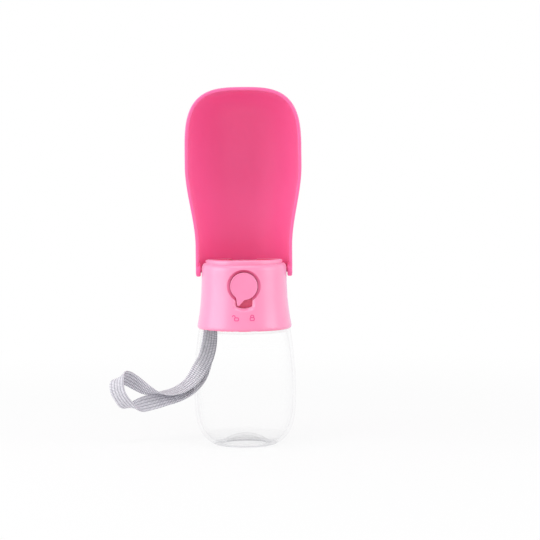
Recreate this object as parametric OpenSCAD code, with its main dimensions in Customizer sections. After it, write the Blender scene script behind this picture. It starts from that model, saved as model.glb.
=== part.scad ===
// Travel water bottle for dogs: a clear bottle, a head that screws onto it and holds a thumb
// valve, a trough that folds over the bottle, and a wrist strap.
// Millimetres. The bottle stands on the origin with its axis along +Z. The button faces -Y.

/* [Bottle] */
// Height of the bottle's shoulder above the table
shoulder_z = 86.6; // [82:0.1:88]
// Widest outer radius of the bottle
bottle_r = 37.9; // [36.5:0.1:38.4]
// Height of the widest ring above the table
belly_z = 46; // [42:0.5:50]
// Outer radius of the bottle just under the head
bottle_top_r = 34.2; // [33.6:0.1:34.4]
// Wall of the bottle
bottle_wall = 2; // [1.6:0.1:2.4]
// Radius of the domed underside
punt_r = 17.5; // [16:0.5:17.5]
// Height of the domed underside
punt_h = 6.5; // [5:0.5:8]
// Height of the neck above the shoulder
neck_h = 10.6; // [9:0.1:11]
// Wall of the neck
neck_wall = 2.2; // [1.8:0.1:2.6]
// Thickness of the neck gasket
gasket_t = 1.3; // [1:0.1:1.8]

/* [Inner cap] */
// Radial gap that the screw thread fills between neck and inner cap
thread_gap = 0.8; // [0.6:0.1:1]
// Wall of the inner cap
cap_wall = 1.9; // [1.5:0.1:2.2]
// Thickness of the plate over the neck
cap_plate_t = 2.5; // [2:0.1:3]
// Gap between the flange that the screws hold and the head
flange_gap = 1.2; // [0.8:0.1:1.6]
// Distance of the screws from the flange's edge
screw_inset = 2.4; // [2.2:0.1:2.6]
// Number of screws
screw_count = 3; // [3:1:3]
// Radius of a screw's shank
screw_r = 1; // [0.8:0.1:1.1]
// Radius of a screw's head
screw_head_r = 1.8; // [1.5:0.1:1.9]
// Gap between a screw's head and the inner cap's wall round the neck
screw_gap = 0.3; // [0.2:0.05:0.6]

/* [Head] */
// Outer radius at the top of the head
head_top_r = 31.4; // [31:0.1:31.6]
// How far the head's lower edge stands out from the bottle
skirt_step = 0.7; // [0.4:0.1:0.9]
// Wall of the head
head_wall = 2; // [1.8:0.1:2.2]
// Width of the rounded top edge
head_round_w = 2.7; // [2:0.1:2.8]
// Height of the rounded top edge
head_round_h = 4.6; // [3:0.1:5]
// Width of the lip round the opening in the head's top
head_lip = 4.6; // [4.4:0.1:5.2]

/* [Rim] */
// How far the rim that stands on the head covers its lip
rim_step = 1.7; // [1.4:0.1:2]
// Radial width of the rim
rim_w = 3.3; // [2.9:0.1:3.6]
// Height of the rim above the head's top
rim_h = 3.6; // [3:0.1:4]
// How much lower the rim is at its gap than at the button's side
rim_fall = 1.7; // [1:0.1:2]
// Depth of the deck below the head's top
deck_drop = 1.2; // [0.8:0.1:1.4]
// Thickness of the deck
deck_t = 1.8; // [1.5:0.1:1.9]
// Half of the angle of the gap at the back of the rim, in degrees
spout_half_angle = 20.6; // [16:0.1:24]

/* [Button] */
// Height of the button's centre below the head's top
button_drop = 15.2; // [14.8:0.1:15.6]
// Gap between the button's well and the flange under it
well_over_flange = 1; // [0.6:0.1:1.6]
// Radius of the round part of the button
button_r = 9.75; // [9.2:0.05:9.9]
// Thickness of the button's plate
button_t = 2.8; // [2.2:0.1:3]
// Travel of the button
button_travel = 3; // [2:0.1:3.1]
// Distance from the button's centre to the tip of its pointer
pointer_reach = 15; // [14.4:0.1:15.2]
// Radius of the pointer's tip
pointer_tip_r = 1.1; // [0.8:0.1:1.3]
// Half of the angle that the pointer's foot covers, in degrees
pointer_half_angle = 19.5; // [16:0.5:22]
// Angle from straight down to the pointer on either side, in degrees
lock_angle = 17; // [12:0.5:17]
// Gap between the button and its well
well_gap = 0.45; // [0.4:0.05:0.6]
// Width of the groove round the button
groove_ring_w = 2; // [1.4:0.1:2.2]
// Width of the slot that the pointer swings in
slot_w = 12.3; // [12:0.1:12.8]
// Reach of that slot from the button's centre
slot_reach = 16.3; // [15.8:0.1:16.4]

/* [Valve] */
// Outer radius of the valve barrel
barrel_r = 8; // [7.6:0.1:8.4]
// Bore of the chamber that holds the spring
spring_bore_r = 5.6; // [5.5:0.1:5.8]
// Bore that the stem slides in
guide_r = 3.8; // [3.7:0.05:4]
// Bore of the chamber behind the seat
seat_bore_r = 6; // [5.9:0.1:6.2]
// Distance from the bottle's axis to the seat
seat_y = 12; // [11.6:0.1:12.2]
// Thickness of the poppet seal
poppet_t = 2; // [1.6:0.1:2]
// Radius of the stem
stem_r = 3.2; // [3:0.05:3.3]
// Radius of the thin end of the stem
stem_thin_r = 1.8; // [1.6:0.05:2]
// Radius of the water ways
water_r = 2.5; // [2:0.1:2.6]
// Wire radius of the return spring
wire_r = 0.4; // [0.3:0.05:0.45]
// Gap between the return spring and its bore
spring_gap = 0.75; // [0.6:0.05:0.9]
// Length of the return spring at rest
spring_len = 9; // [8:0.1:9.4]
// Number of turns of the return spring
spring_turns = 5; // [4:1:5]

/* [Trough] */
// Depth of the hinge below the head's top
hinge_drop = 5.2; // [4.8:0.1:6]
// How far the folded trough reaches past the bottle's foot
trough_over = 5; // [4:0.1:8]
// Gap between the trough and the head at the hinge
swing_gap = 2.2; // [1.8:0.1:2.8]
// Gap between the folded trough and the widest part of the bottle
fold_gap = 3.1; // [2.4:0.1:4]
// Length of the trough's rounded end
trough_end_len = 49; // [44:0.5:54]
// Wall of the trough
trough_wall = 2.2; // [1.8:0.1:2.4]
// How far the rim reaches in front of the hinge
trough_lip = 4.5; // [3.5:0.1:5]
// Slope of the rim, forward per millimetre of length
lip_slope = 0.022; // [0:0.002:0.03]
// Length of the trough behind the hinge
trough_tail = 3; // [2:0.1:3.5]
// Radius of the ears round the pins
ear_r = 5; // [4.6:0.1:5.4]
// Gap between an ear and the head
ear_gap = 0.7; // [0.5:0.05:0.9]
// Radius of a hinge pin
pin_r = 1.5; // [1.2:0.05:1.8]
// How deep a pin sits below the face of its ear
pin_recess = 1.2; // [0.8:0.1:1.6]

/* [Strap] */
// Width of the webbing
strap_w = 12; // [10:0.5:12]
// Thickness of the webbing
strap_t = 1.1; // [0.9:0.05:1.1]
// Direction of the strap's slot round the head, in degrees from +X
strap_angle = 135; // [130:1:140]
// Radius of the bar that holds the strap
bar_r = 1; // [0.8:0.05:1]

/* [Fits] */
// Radial gap of a pin that turns or slides
running_fit = 0.05; // [0.03:0.01:0.08]
// Gap between pieces that are put together and stay so
seat_fit = 0.05; // [0.02:0.01:0.08]

/* [Hidden] */
$fn = 96;

pink = [0.98, 0.55, 0.74];
deep_pink = [0.95, 0.32, 0.5];
clear_plastic = [0.85, 0.9, 0.93, 0.4];
white_plastic = [0.93, 0.93, 0.95];
silicone = [0.8, 0.82, 0.85];
steel = [0.7, 0.71, 0.73];
webbing = [0.75, 0.75, 0.78];
over = 0.5;

// Heights
well_floor_t = 1.6;
neck_top = shoulder_z + neck_h;
plate_z = neck_top + gasket_t + 2 * seat_fit;
plate_top = plate_z + cap_plate_t;
head_z = shoulder_z + 0.4;
button_z = plate_top + well_over_flange + well_floor_t + slot_reach;
head_top = button_z + button_drop;
head_h = head_top - head_z;
deck_top = head_top - deck_drop;
deck_z = deck_top - deck_t;
pivot_z = head_top - hinge_drop;

// Radii of the head and of what stands in it
flare_power = 2.6;
flare_end = 2.2;
foot_round = 1.8;
foot_draw = 0.7;
head_bottom_r = bottle_top_r + skirt_step;
top_opening_r = head_top_r - head_lip;
rim_r = top_opening_r + rim_step;
flange_r = head_r_at(plate_top) - head_wall - flange_gap;
screw_circle_r = flange_r - screw_inset;
neck_r = screw_circle_r - screw_head_r - screw_gap - cap_wall - thread_gap;

// Outline of the bottle
belly_power = 3.1;
belly_drop = belly_z + 2;
waist_power = 1.55;
shoulder_round = 1.2;
dome_r = (punt_r * punt_r + punt_h * punt_h) / (2 * punt_h);

function arc(r0, z0, r, a0, a1, n) =
    [for (i = [0:n]) let (a = a0 + (a1 - a0) * i / n) [r0 + r * cos(a), z0 + r * sin(a)]];

function belly(w, n) =
    let (end = asin(pow((belly_z - w) / (belly_drop - w), belly_power / 2)))
    [for (i = [0:n]) let (a = end * (1 - i / n)) [
        (bottle_r - w) * pow(cos(a), 2 / belly_power),
        belly_z - (belly_drop - w) * pow(sin(a), 2 / belly_power)
    ]];

function waist(w, top, n) =
    [for (i = [1:n]) let (u = i / n) [
        bottle_r - w - (bottle_r - bottle_top_r) * pow(u, waist_power),
        belly_z + (top - belly_z) * u
    ]];

function underside(w, n) =
    let (foot = sqrt(punt_h * (2 * (dome_r + w) - punt_h)))
    [for (i = [0:n]) let (r = foot * i / n) [
        r, sqrt(pow(dome_r + w, 2) - r * r) - dome_r + punt_h
    ]];

function bottle_outline(w, top_r, top) = concat(
    underside(w, 8),
    belly(w, 12),
    waist(w, shoulder_z - shoulder_round - w, 8),
    arc(bottle_top_r - shoulder_round - w, shoulder_z - shoulder_round - w, shoulder_round,
        22.5, 90, 3),
    [[top_r, shoulder_z - w], [top_r, top]]
);

function reversed(p) = [for (i = [len(p) - 1:-1:0]) p[i]];

// Outline of the head
function head_r_at(z) =
    let (u = (z - head_z - foot_round) / (head_h - flare_end - foot_round))
    head_top_r + (head_bottom_r - head_top_r) * pow(max(0, 1 - u), flare_power);

function head_side(w, z0, z1, n) =
    [for (i = [0:n]) let (z = z0 + (z1 - z0) * i / n) [head_r_at(z) - w, z]];

function head_outline() = concat(
    [[head_bottom_r - foot_draw, head_z], [head_bottom_r - foot_draw / 4, head_z + foot_round / 2]],
    head_side(0, head_z + foot_round, head_top - head_round_h, 11),
    [for (i = [1:8]) let (a = 90 * i / 8) [
        head_top_r - head_round_w + head_round_w * cos(a),
        head_top - head_round_h + head_round_h * sin(a)
    ]]
);

// Mouth of the button's well, measured along Y
mouth_r = button_r + well_gap + groove_ring_w;
mouth_y = 0.1 - sqrt(pow(head_r_at(button_z), 2) - pow(mouth_r, 2));
slot_lip_y = 2.3 - head_r_at(button_z - slot_reach);
slot_side_y = slot_lip_y + 0.8;
slot_lip_slope = 0.9;
slot_side_slope = 1.3;

// Valve, measured along Y
button_front_y = 0.45 - head_r_at(button_z);
well_floor_y = button_front_y + button_t + button_travel + 0.1;
barrel_front_y = well_floor_y + well_floor_t + seat_fit;
hub_r = 5;
hub_end_y = barrel_front_y + 1.5;
spring_seat_y = -3;
spring_r = spring_bore_r - spring_gap - wire_r;
collar_t = 1.4;
collar_r = spring_bore_r - 0.5;
collar_y = spring_seat_y - spring_len - collar_t;
thin_y = 3.4;
seal_front_y = -1.9;
seal_rear_y = 1.3;
seal_cord_r = 0.6;
groove_w = 1.3;
clip_y = hub_end_y + seat_fit;
clip_t = 0.7;
poppet_clip_y = seat_y + poppet_t + 2 * seat_fit;
stem_end_y = poppet_clip_y + clip_t + 0.6;
plug_y = stem_end_y + button_travel + 0.25;
plug_t = 2.4;
plug_flange_t = 1.4;
inlet_y = seat_y + water_r + 0.9;
outlet_y = thin_y + water_r + 1.6;
barrel_end_y = plug_y + plug_t;
inlet_wall = 2;
spigot_r = water_r + 1;
outlet_r = water_r + 1.5;
outlet_collar_r = outlet_r + 1.6;
outlet_seal_t = 1.4;
rim_flat = 0.2;

// Outline of the trough
trough_len = pivot_z + trough_over;
trough_neck_r = head_top_r + swing_gap + trough_wall;
trough_r = bottle_r + fold_gap + trough_wall;
widen_from = 17;
narrow_from = trough_len - trough_end_len;
widen_to = narrow_from - 9;
end_power = 3.17;
front_past = 60;

function trough_r_at(s) =
    s < narrow_from
    ? let (u = min(1, max(0, (s - widen_from) / (widen_to - widen_from))))
        trough_neck_r + (trough_r - trough_neck_r) * u * u * (3 - 2 * u)
    : trough_r;

function trough_outline(w, tail) = concat(
    [for (s = [-tail, widen_from]) [trough_r_at(s) - w, pivot_z + s]],
    [for (i = [1:12]) let (s = widen_from + (widen_to - widen_from) * i / 12)
        [trough_r_at(s) - w, pivot_z + s]],
    [for (i = [0:16]) let (a = 90 * i / 16) [
        (trough_r - w) * pow(cos(a), 2 / end_power),
        pivot_z + narrow_from + (trough_len - narrow_from - w) * pow(sin(a), 2 / end_power)
    ]]
);

// Strap: its bar lies across the slot in the head's lower edge
bar_z = head_z + 6;
bar_at_r = head_r_at(bar_z) - head_wall - 2.9;
slot_h = 3.9;
strap_play = 0.7;
lug_w = 2.3;
lug_h = 3.6;

function at_slot(r, z) =
    [r * cos(strap_angle), r * sin(strap_angle), z, strap_angle - 90, 0];

function at_bar(dr, dz) = at_slot(bar_at_r + dr, bar_z + dz);

// Middle of the webbing, then the direction of its width as azimuth and elevation
strap_route = concat(
    [
        at_bar(0, 1.9), at_bar(-1.4, 1.4), at_bar(-1.9, 0), at_bar(-1.5, -2.5),
        at_slot(29.4, 88.6), at_slot(32, 88), at_slot(34.1, 87.6),
        at_slot(35.5, 86), at_slot(35.9, 83)
    ],
    [
        [-26, 27.5, 75.5, 34, -2], [-27.5, 29, 68, 20, -3], [-29.6, 29.6, 61.5, 12, -8],
        [-33, 29.5, 55, 4, -13], [-38.3, 27.5, 47, -25, -12], [-44, 24, 41.5, -42, -16],
        [-50.5, 20.3, 38.2, -51, -15], [-57, 16.8, 36.8, -62, -12], [-62.4, 14.6, 36.7, -75, -2],
        [-67.8, 13.2, 38, -82, 12], [-74.8, 12.5, 41.6, -75, 32], [-81.4, 12.8, 45.6, -68, 46],
        [-87.6, 12.4, 49.2, -50, 48], [-92.6, 9, 50.4, -26, 32], [-95.4, 5, 46.8, -20, 20],
        [-95.2, 3, 41, -22, 16], [-93, 2.6, 35.6, -30, 26], [-89.6, 4.2, 30.4, -34, 30],
        [-85, 8, 26.6, -34, 4], [-79.6, 11.6, 26.6, -52, -30], [-74, 13.6, 27.8, -64, -44],
        [-68, 15.2, 29, -68, -46], [-61, 17.2, 30.6, -63, -38], [-54, 19.6, 32.2, -57, -30],
        [-47.6, 22.4, 34.6, -50, -24], [-41.6, 25.6, 38.2, -40, -18], [-37, 28.6, 43.4, -24, -12],
        [-33.6, 30.8, 50, 0, -12], [-31, 31.7, 57.5, 14, -8], [-28.8, 31.4, 66, 26, -4],
        [-27.4, 29.9, 75, 38, -2]
    ],
    [
        at_slot(37.7, 83.2), at_slot(37.2, 87), at_slot(35.2, 89.2), at_slot(32.7, 89.8),
        at_bar(1.8, -1.8), at_bar(1.65, 0), at_bar(1.3, 1.3)
    ]
);
strap_steps = 2;
strap_edge = 0.35;

function spline(p, i, t) =
    let (n = len(p), a = p[(i + n - 1) % n], b = p[i], c = p[(i + 1) % n], d = p[(i + 2) % n])
    ((2 * b) + (c - a) * t + (2 * a - 5 * b + 4 * c - d) * t * t
        + (3 * b - a - 3 * c + d) * t * t * t) / 2;

function place(p) = [p[0], p[1], p[2]];
function unit(v) = v / norm(v);
function across(p) = [cos(p[4]) * cos(p[3]), cos(p[4]) * sin(p[3]), sin(p[4])];

function strap_line() =
    [for (i = [0:len(strap_route) - 1], k = [0:strap_steps - 1])
        spline(strap_route, i, k / strap_steps)];

function strap_section(a, b, c) = [
    [a, c - b], [a, b - c], [a - c, b], [c - a, b], [-a, b - c], [-a, c - b], [c - a, -b], [a - c, -b]
];

function strap_rings(line) =
    let (n = len(line), section = strap_section(strap_w / 2, strap_t / 2, strap_edge))
    [for (i = [0:n - 1]) let (
        along = unit(place(line[(i + 1) % n]) - place(line[(i + n - 1) % n])),
        up = unit(cross(across(line[i]), along)),
        wide = cross(along, up)
    ) [for (s = section) place(line[i]) + s[0] * wide + s[1] * up]];

function least_gap(line, apart, thick) =
    let (n = len(line))
    min([for (i = [0:n - 1], j = [i + apart:1:n - 1]) if (i + n - j >= apart)
        norm(place(line[i]) - place(line[j]))]) - thick;

module swept(rings, closed) {
    n = len(rings);
    m = len(rings[0]);
    last = closed ? n - 1 : n - 2;
    sides = [for (i = [0:last], j = [0:m - 1]) let (
        a = i * m + j, b = i * m + (j + 1) % m,
        c = ((i + 1) % n) * m + (j + 1) % m, d = ((i + 1) % n) * m + j
    ) each [[a, c, b], [a, d, c]]];
    caps = closed ? [] : concat(
        [for (j = [1:m - 2]) [0, j, j + 1]],
        [for (j = [1:m - 2]) [(n - 1) * m, (n - 1) * m + j + 1, (n - 1) * m + j]]
    );
    polyhedron(points = [for (r = rings) each r], faces = concat(sides, caps), convexity = 8);
}

// A cylinder along +Y
module along_y(y0, y1, r) {
    translate([0, y0, button_z]) rotate([-90, 0, 0]) cylinder(r = r, h = y1 - y0);
}

module ring_y(y0, y1, inner, outer) {
    difference() {
        along_y(y0, y1, outer);
        along_y(y0 - over, y1 + over, inner);
    }
}

module seal_y(y, inner, outer) {
    cord = (outer - inner) / 2;
    translate([0, y, button_z]) rotate([-90, 0, 0])
        rotate_extrude() translate([inner + cord, 0]) circle(r = cord, $fn = 24);
}

// A cylinder along X on one side of the head, from one distance to another
module along_x(side, x0, x1, r) {
    translate([side * x0, 0, pivot_z]) rotate([0, side * 90, 0]) cylinder(r = r, h = x1 - x0);
}

module at_screws() {
    for (i = [0:screw_count - 1])
        rotate(90 + 360 * i / screw_count) translate([screw_circle_r, 0, 0]) children();
}

module bottle() {
    color(clear_plastic) rotate_extrude() polygon(concat(
        bottle_outline(0, neck_r, neck_top),
        reversed(bottle_outline(bottle_wall, neck_r - neck_wall, neck_top))
    ));
}

module neck_gasket() {
    color(silicone) translate([0, 0, neck_top + seat_fit]) difference() {
        cylinder(r = neck_r, h = gasket_t);
        translate([0, 0, -over]) cylinder(r = neck_r - neck_wall, h = gasket_t + 2 * over);
    }
}

module inner_cap() {
    inner = neck_r + thread_gap;
    color(white_plastic) difference() {
        union() {
            translate([0, 0, head_z + 0.6]) cylinder(r = inner + cap_wall, h = plate_top - head_z - 0.6);
            translate([0, 0, plate_z]) cylinder(r = flange_r, h = cap_plate_t);
        }
        translate([0, 0, head_z]) cylinder(r = inner, h = plate_z - head_z);
        translate([0, inlet_y, plate_z - over])
            cylinder(r = spigot_r + seat_fit, h = cap_plate_t + 2 * over);
        at_screws() translate([0, 0, plate_z - over])
            cylinder(r = screw_r + seat_fit, h = cap_plate_t + 2 * over);
    }
}

screw_len = 6;
screw_head_h = 1.2;

module cap_screws() {
    color(steel) at_screws() {
        translate([0, 0, plate_z - seat_fit - screw_head_h])
            cylinder(r = screw_head_r, h = screw_head_h);
        translate([0, 0, plate_z - seat_fit - screw_head_h / 2])
            cylinder(r = screw_r, h = screw_len + screw_head_h / 2);
    }
}

// Everything inside the middle of the head's wall
module head_core() {
    rotate_extrude() polygon(concat(
        [[0, head_z], [head_bottom_r - head_wall * 0.6, head_z]],
        head_side(head_wall / 2, head_z + foot_round, head_top - head_wall / 2, 10),
        [[0, head_top - head_wall / 2]]
    ));
}

module head_skin() {
    rotate_extrude() polygon(concat(
        head_outline(),
        [[top_opening_r - 1, head_top], [top_opening_r - 1, head_top - head_wall]],
        reversed(head_side(head_wall, head_z + foot_round, head_top - head_wall, 10)),
        [[head_bottom_r - head_wall, head_z]]
    ));
}

module well(y0, y1, grow) {
    along_y(y0, y1, button_r + well_gap + grow);
    intersection() {
        along_y(y0, y1, slot_reach + grow);
        translate([-slot_w / 2 - grow, y0, button_z - slot_reach - grow - over])
            cube([slot_w + 2 * grow, y1 - y0, slot_reach + grow + over]);
    }
}

// Groove round the button and bevel round its slot
module well_mouth() {
    reach = 5;
    deep = slot_side_y - slot_lip_y;
    translate([0, mouth_y, button_z]) rotate([-90, 0, 0])
        cylinder(r1 = mouth_r, r2 = mouth_r - groove_ring_w, h = groove_ring_w);
    along_y(mouth_y - reach - over, mouth_y, mouth_r);
    intersection() {
        translate([0, slot_lip_y - reach, button_z]) rotate([-90, 0, 0])
            cylinder(r1 = slot_reach + slot_lip_slope * reach, r2 = slot_reach - slot_lip_slope * deep,
                h = reach + deep);
        translate([0, 0, button_z - 2 * slot_reach]) linear_extrude(2 * slot_reach) polygon([
            [-slot_w / 2, slot_side_y], [slot_w / 2, slot_side_y],
            [slot_w / 2 + slot_side_slope * reach, slot_side_y - reach],
            [-slot_w / 2 - slot_side_slope * reach, slot_side_y - reach]
        ]);
    }
}

module head_fittings() {
    // Well of the button
    well(-front_past, well_floor_y + well_floor_t, well_floor_t);
    along_y(-front_past, mouth_y + groove_ring_w, mouth_r + well_floor_t);
    // Bosses of the hinge pins
    for (side = [-1, 1]) along_x(side, pin_boss_x, head_top_r, 3.6);
    // Lugs of the strap's bar
    rotate(strap_angle - 90) for (side = [-1, 1])
        translate([side * (strap_w / 2 + strap_play + lug_w / 2) - lug_w / 2, bar_at_r - 1.8, bar_z - lug_h / 2])
            cube([lug_w, 8, lug_h]);
}

pin_boss_x = top_opening_r - 0.6;

ledge_h = 1.5;
ledge_w = 3.2;
boss_r = 2.3;
boss_h = 7;

module head_shell() {
    color(pink) difference() {
        union() {
            head_skin();
            intersection() {
                head_core();
                head_fittings();
            }
            // Ledge that the inner cap's flange seats on
            intersection() {
                head_core();
                translate([0, 0, plate_top + seat_fit]) difference() {
                    cylinder(r = head_bottom_r, h = ledge_h);
                    translate([0, 0, -over]) cylinder(r = flange_r - ledge_w, h = ledge_h + 2 * over);
                }
            }
            // Bosses of the cap screws
            at_screws() translate([0, 0, plate_top + seat_fit]) cylinder(r = boss_r, h = boss_h);
            // Collar that the valve barrel seats in
            ring_y(well_floor_y + well_floor_t - over, barrel_front_y + 2.6,
                barrel_r + seat_fit, barrel_r + 1.5);
        }
        well(-front_past, well_floor_y, 0);
        well_mouth();
        along_y(well_floor_y - over, well_floor_y + well_floor_t + over, hub_r + 0.4);
        for (side = [-1, 1]) along_x(side, pin_boss_x + 0.6, head_top_r + over, pin_r + seat_fit);
        // Seat of the deck
        translate([0, 0, deck_z - seat_fit]) cylinder(r = top_opening_r, h = head_top - deck_z + over);
        at_screws() translate([0, 0, plate_top]) cylinder(r = screw_r + seat_fit, h = screw_len - cap_plate_t + 0.6);
        rotate(strap_angle - 90) {
            // Slot of the strap in the lower edge
            translate([-strap_w / 2 - strap_play, bar_at_r - 1, head_z - over])
                cube([strap_w + 2 * strap_play, 10, slot_h + over]);
            translate([-strap_w / 2 - strap_play - lug_w + over, bar_at_r, bar_z]) rotate([0, 90, 0])
                cylinder(r = bar_r + seat_fit, h = strap_w + 2 * (strap_play + lug_w - over));
        }
    }
}

module rim_deck() {
    round_r = rim_w * 0.36;
    inner = rim_r - rim_w;
    color(pink) difference() {
        rotate_extrude() polygon(concat(
            [[0, deck_z], [top_opening_r - seat_fit, deck_z], [top_opening_r - seat_fit, head_top + seat_fit],
             [rim_r, head_top + seat_fit]],
            arc(rim_r - round_r, head_top + rim_h - round_r, round_r, 0, 90, 4),
            arc(inner + round_r, head_top + rim_h - round_r, round_r, 90, 180, 4),
            [[inner, deck_top], [0, deck_top]]
        ));
        // Gap that lets the water run into the trough
        translate([0, 0, head_top + seat_fit]) linear_extrude(rim_h + over) polygon([
            [0, 0],
            [rim_r * 2 * sin(spout_half_angle), rim_r * 2 * cos(spout_half_angle)],
            [-rim_r * 2 * sin(spout_half_angle), rim_r * 2 * cos(spout_half_angle)]
        ]);
        translate([0, outlet_y, deck_z - over]) cylinder(r = outlet_r + seat_fit, h = deck_t + 2 * over);
        // The rim's top falls towards the gap
        translate([-rim_r - over, -rim_r, head_top + rim_h - rim_flat])
            rotate([-atan(rim_fall / (2 * rim_r)), 0, 0])
                translate([0, -5, 0]) cube([2 * (rim_r + over), 2 * rim_r + 10, 2 * rim_h]);
    }
}

module valve_body() {
    color(white_plastic) difference() {
        union() {
            along_y(barrel_front_y, barrel_end_y, barrel_r);
            translate([0, inlet_y, plate_top + seat_fit]) cylinder(r = water_r + inlet_wall, h = button_z - plate_top);
            translate([0, inlet_y, plate_z]) cylinder(r = spigot_r, h = button_z - plate_z);
            translate([0, outlet_y, button_z]) cylinder(r = outlet_r, h = deck_top - button_z);
            translate([0, outlet_y, button_z])
                cylinder(r = outlet_collar_r, h = deck_z - outlet_seal_t - 2 * seat_fit - button_z);
        }
        along_y(barrel_front_y - over, spring_seat_y, spring_bore_r);
        along_y(spring_seat_y - over, seat_y + over, guide_r);
        along_y(seat_y, barrel_end_y + over, seat_bore_r);
        translate([0, inlet_y, plate_z - over]) cylinder(r = water_r, h = button_z - plate_z);
        translate([0, outlet_y, button_z]) cylinder(r = water_r, h = deck_top - button_z + over);
        // Groove of the inlet seal
        translate([0, inlet_y, plate_z + cap_plate_t / 2 - seal_cord_r]) difference() {
            cylinder(r = spigot_r + over, h = 2 * seal_cord_r);
            translate([0, 0, -over]) cylinder(r = spigot_r - 0.5, h = 2 * seal_cord_r + 2 * over);
        }
    }
}

module inlet_seal() {
    inner = spigot_r - 0.5 + seat_fit;
    cord = (spigot_r + seat_fit - inner) / 2;
    color(silicone) translate([0, inlet_y, plate_z + cap_plate_t / 2])
        rotate_extrude() translate([inner + cord, 0]) circle(r = cord - seat_fit / 4, $fn = 24);
}

module outlet_seal() {
    color(silicone) translate([0, outlet_y, deck_z - outlet_seal_t - seat_fit]) difference() {
        cylinder(r = outlet_collar_r, h = outlet_seal_t);
        translate([0, 0, -over]) cylinder(r = outlet_r + seat_fit, h = outlet_seal_t + 2 * over);
    }
}

plug_seal_depth = 1;

module end_plug() {
    r = seat_bore_r - seat_fit;
    color(white_plastic) difference() {
        union() {
            along_y(plug_y, barrel_end_y + seat_fit + over, r);
            along_y(barrel_end_y + seat_fit, barrel_end_y + seat_fit + plug_flange_t, barrel_r);
        }
        ring_y(plug_y + 0.6, plug_y + 0.6 + groove_w, r - plug_seal_depth, r + over);
    }
}

module end_plug_seal() {
    r = seat_bore_r - seat_fit;
    color(silicone) seal_y(plug_y + 0.6 + groove_w / 2, r - plug_seal_depth, r);
}

module valve_stem() {
    groove = guide_r - 2 * seal_cord_r;
    color(white_plastic) difference() {
        union() {
            along_y(button_front_y + 1.3, thin_y, stem_r);
            along_y(collar_y, collar_y + collar_t, collar_r);
            along_y(thin_y - over, stem_end_y, stem_thin_r);
        }
        for (y = [seal_front_y, seal_rear_y])
            ring_y(y - groove_w / 2, y + groove_w / 2, groove, stem_r + over);
        ring_y(clip_y, clip_y + clip_t + 2 * seat_fit, stem_r - 0.6, stem_r + over);
        ring_y(poppet_clip_y - seat_fit, poppet_clip_y + clip_t + seat_fit, stem_thin_r - 0.5, stem_thin_r + over);
    }
}

module stem_seal_front() {
    color(silicone) seal_y(seal_front_y, guide_r - 2 * seal_cord_r + seat_fit / 2, guide_r - seat_fit / 2);
}

module stem_seal_rear() {
    color(silicone) seal_y(seal_rear_y, guide_r - 2 * seal_cord_r + seat_fit / 2, guide_r - seat_fit / 2);
}

module poppet_seal() {
    color(silicone) ring_y(seat_y + seat_fit, seat_y + seat_fit + poppet_t, stem_thin_r + seat_fit / 2, seat_bore_r - 0.6);
}

module poppet_clip() {
    color(steel) ring_y(poppet_clip_y, poppet_clip_y + clip_t, stem_thin_r - 0.45, stem_thin_r + 1.5);
}

module button_clip() {
    color(steel) ring_y(clip_y + seat_fit, clip_y + seat_fit + clip_t, stem_r - 0.55, stem_r + 1.2);
}

function spring_rings() =
    let (
        y0 = collar_y + collar_t + seat_fit + wire_r,
        y1 = spring_seat_y - seat_fit - wire_r,
        steps = 8 * spring_turns
    )
    [for (i = [0:steps]) let (a = 360 * i / 8, y = y0 + (y1 - y0) * i / steps)
        [for (k = [0:5]) let (b = 60 * k, r = spring_r + wire_r * cos(b))
            [r * sin(a), y + wire_r * sin(b), button_z + r * cos(a)]]];

module return_spring() {
    color(steel) swept(spring_rings(), false);
}

// Outline of the pointer, straight down from the button's centre
function pointer() =
    let (
        foot_r = button_r - 0.6,
        foot = [foot_r * sin(pointer_half_angle), -foot_r * cos(pointer_half_angle)],
        tip = pointer_reach - pointer_tip_r,
        lean = atan2(foot[0] - pointer_tip_r, tip + foot[1])
    )
    concat(
        [[0, 0], [-foot[0], foot[1]]],
        arc(0, -tip, pointer_tip_r, 180 + lean, 360 - lean, 8),
        [foot]
    );

module push_button() {
    edge = 0.5;
    color(pink) difference() {
        union() {
            along_y(button_front_y + edge, button_front_y + button_t, button_r);
            translate([0, button_front_y, button_z]) rotate([-90, 0, 0])
                cylinder(r1 = button_r - edge, r2 = button_r, h = edge);
            translate([0, button_front_y + button_t - 0.3, button_z]) rotate([0, lock_angle, 0])
                rotate([90, 0, 0]) linear_extrude(button_t - 0.3 - edge / 2) polygon(pointer());
            along_y(button_front_y + button_t - over, hub_end_y, hub_r);
        }
        along_y(button_front_y + 1.2, hub_end_y + over, stem_r + running_fit);
    }
}

module trough_envelope(tail) {
    rotate_extrude() polygon(concat([[0, pivot_z - tail]], trough_outline(0, tail)));
}

module trough() {
    inner_x = head_top_r + ear_gap;
    far = trough_len + front_past;
    color(deep_pink) difference() {
        union() {
            difference() {
                rotate_extrude() polygon(concat(
                    trough_outline(0, trough_tail),
                    reversed(trough_outline(trough_wall, trough_tail))
                ));
                // Everything in front of the rim
                translate([-front_past, 0, pivot_z]) rotate([90, 0, 90]) linear_extrude(2 * front_past)
                    polygon([
                        [-trough_lip + lip_slope * front_past, -front_past],
                        [-trough_lip - lip_slope * far, far],
                        [-2 * front_past, far], [-2 * front_past, -front_past]
                    ]);
            }
            intersection() {
                trough_envelope(ear_r + over);
                for (side = [-1, 1]) along_x(side, inner_x, trough_r, ear_r);
            }
        }
        for (side = [-1, 1]) {
            along_x(side, inner_x - over, trough_r, pin_r + running_fit);
            // Countersink of the pin's hole
            translate([side * (trough_neck_r - 0.6), 0, pivot_z]) rotate([0, side * 90, 0])
                cylinder(r1 = pin_r + running_fit, r2 = pin_r + 1.4, h = 1.2);
        }
    }
}

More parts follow.
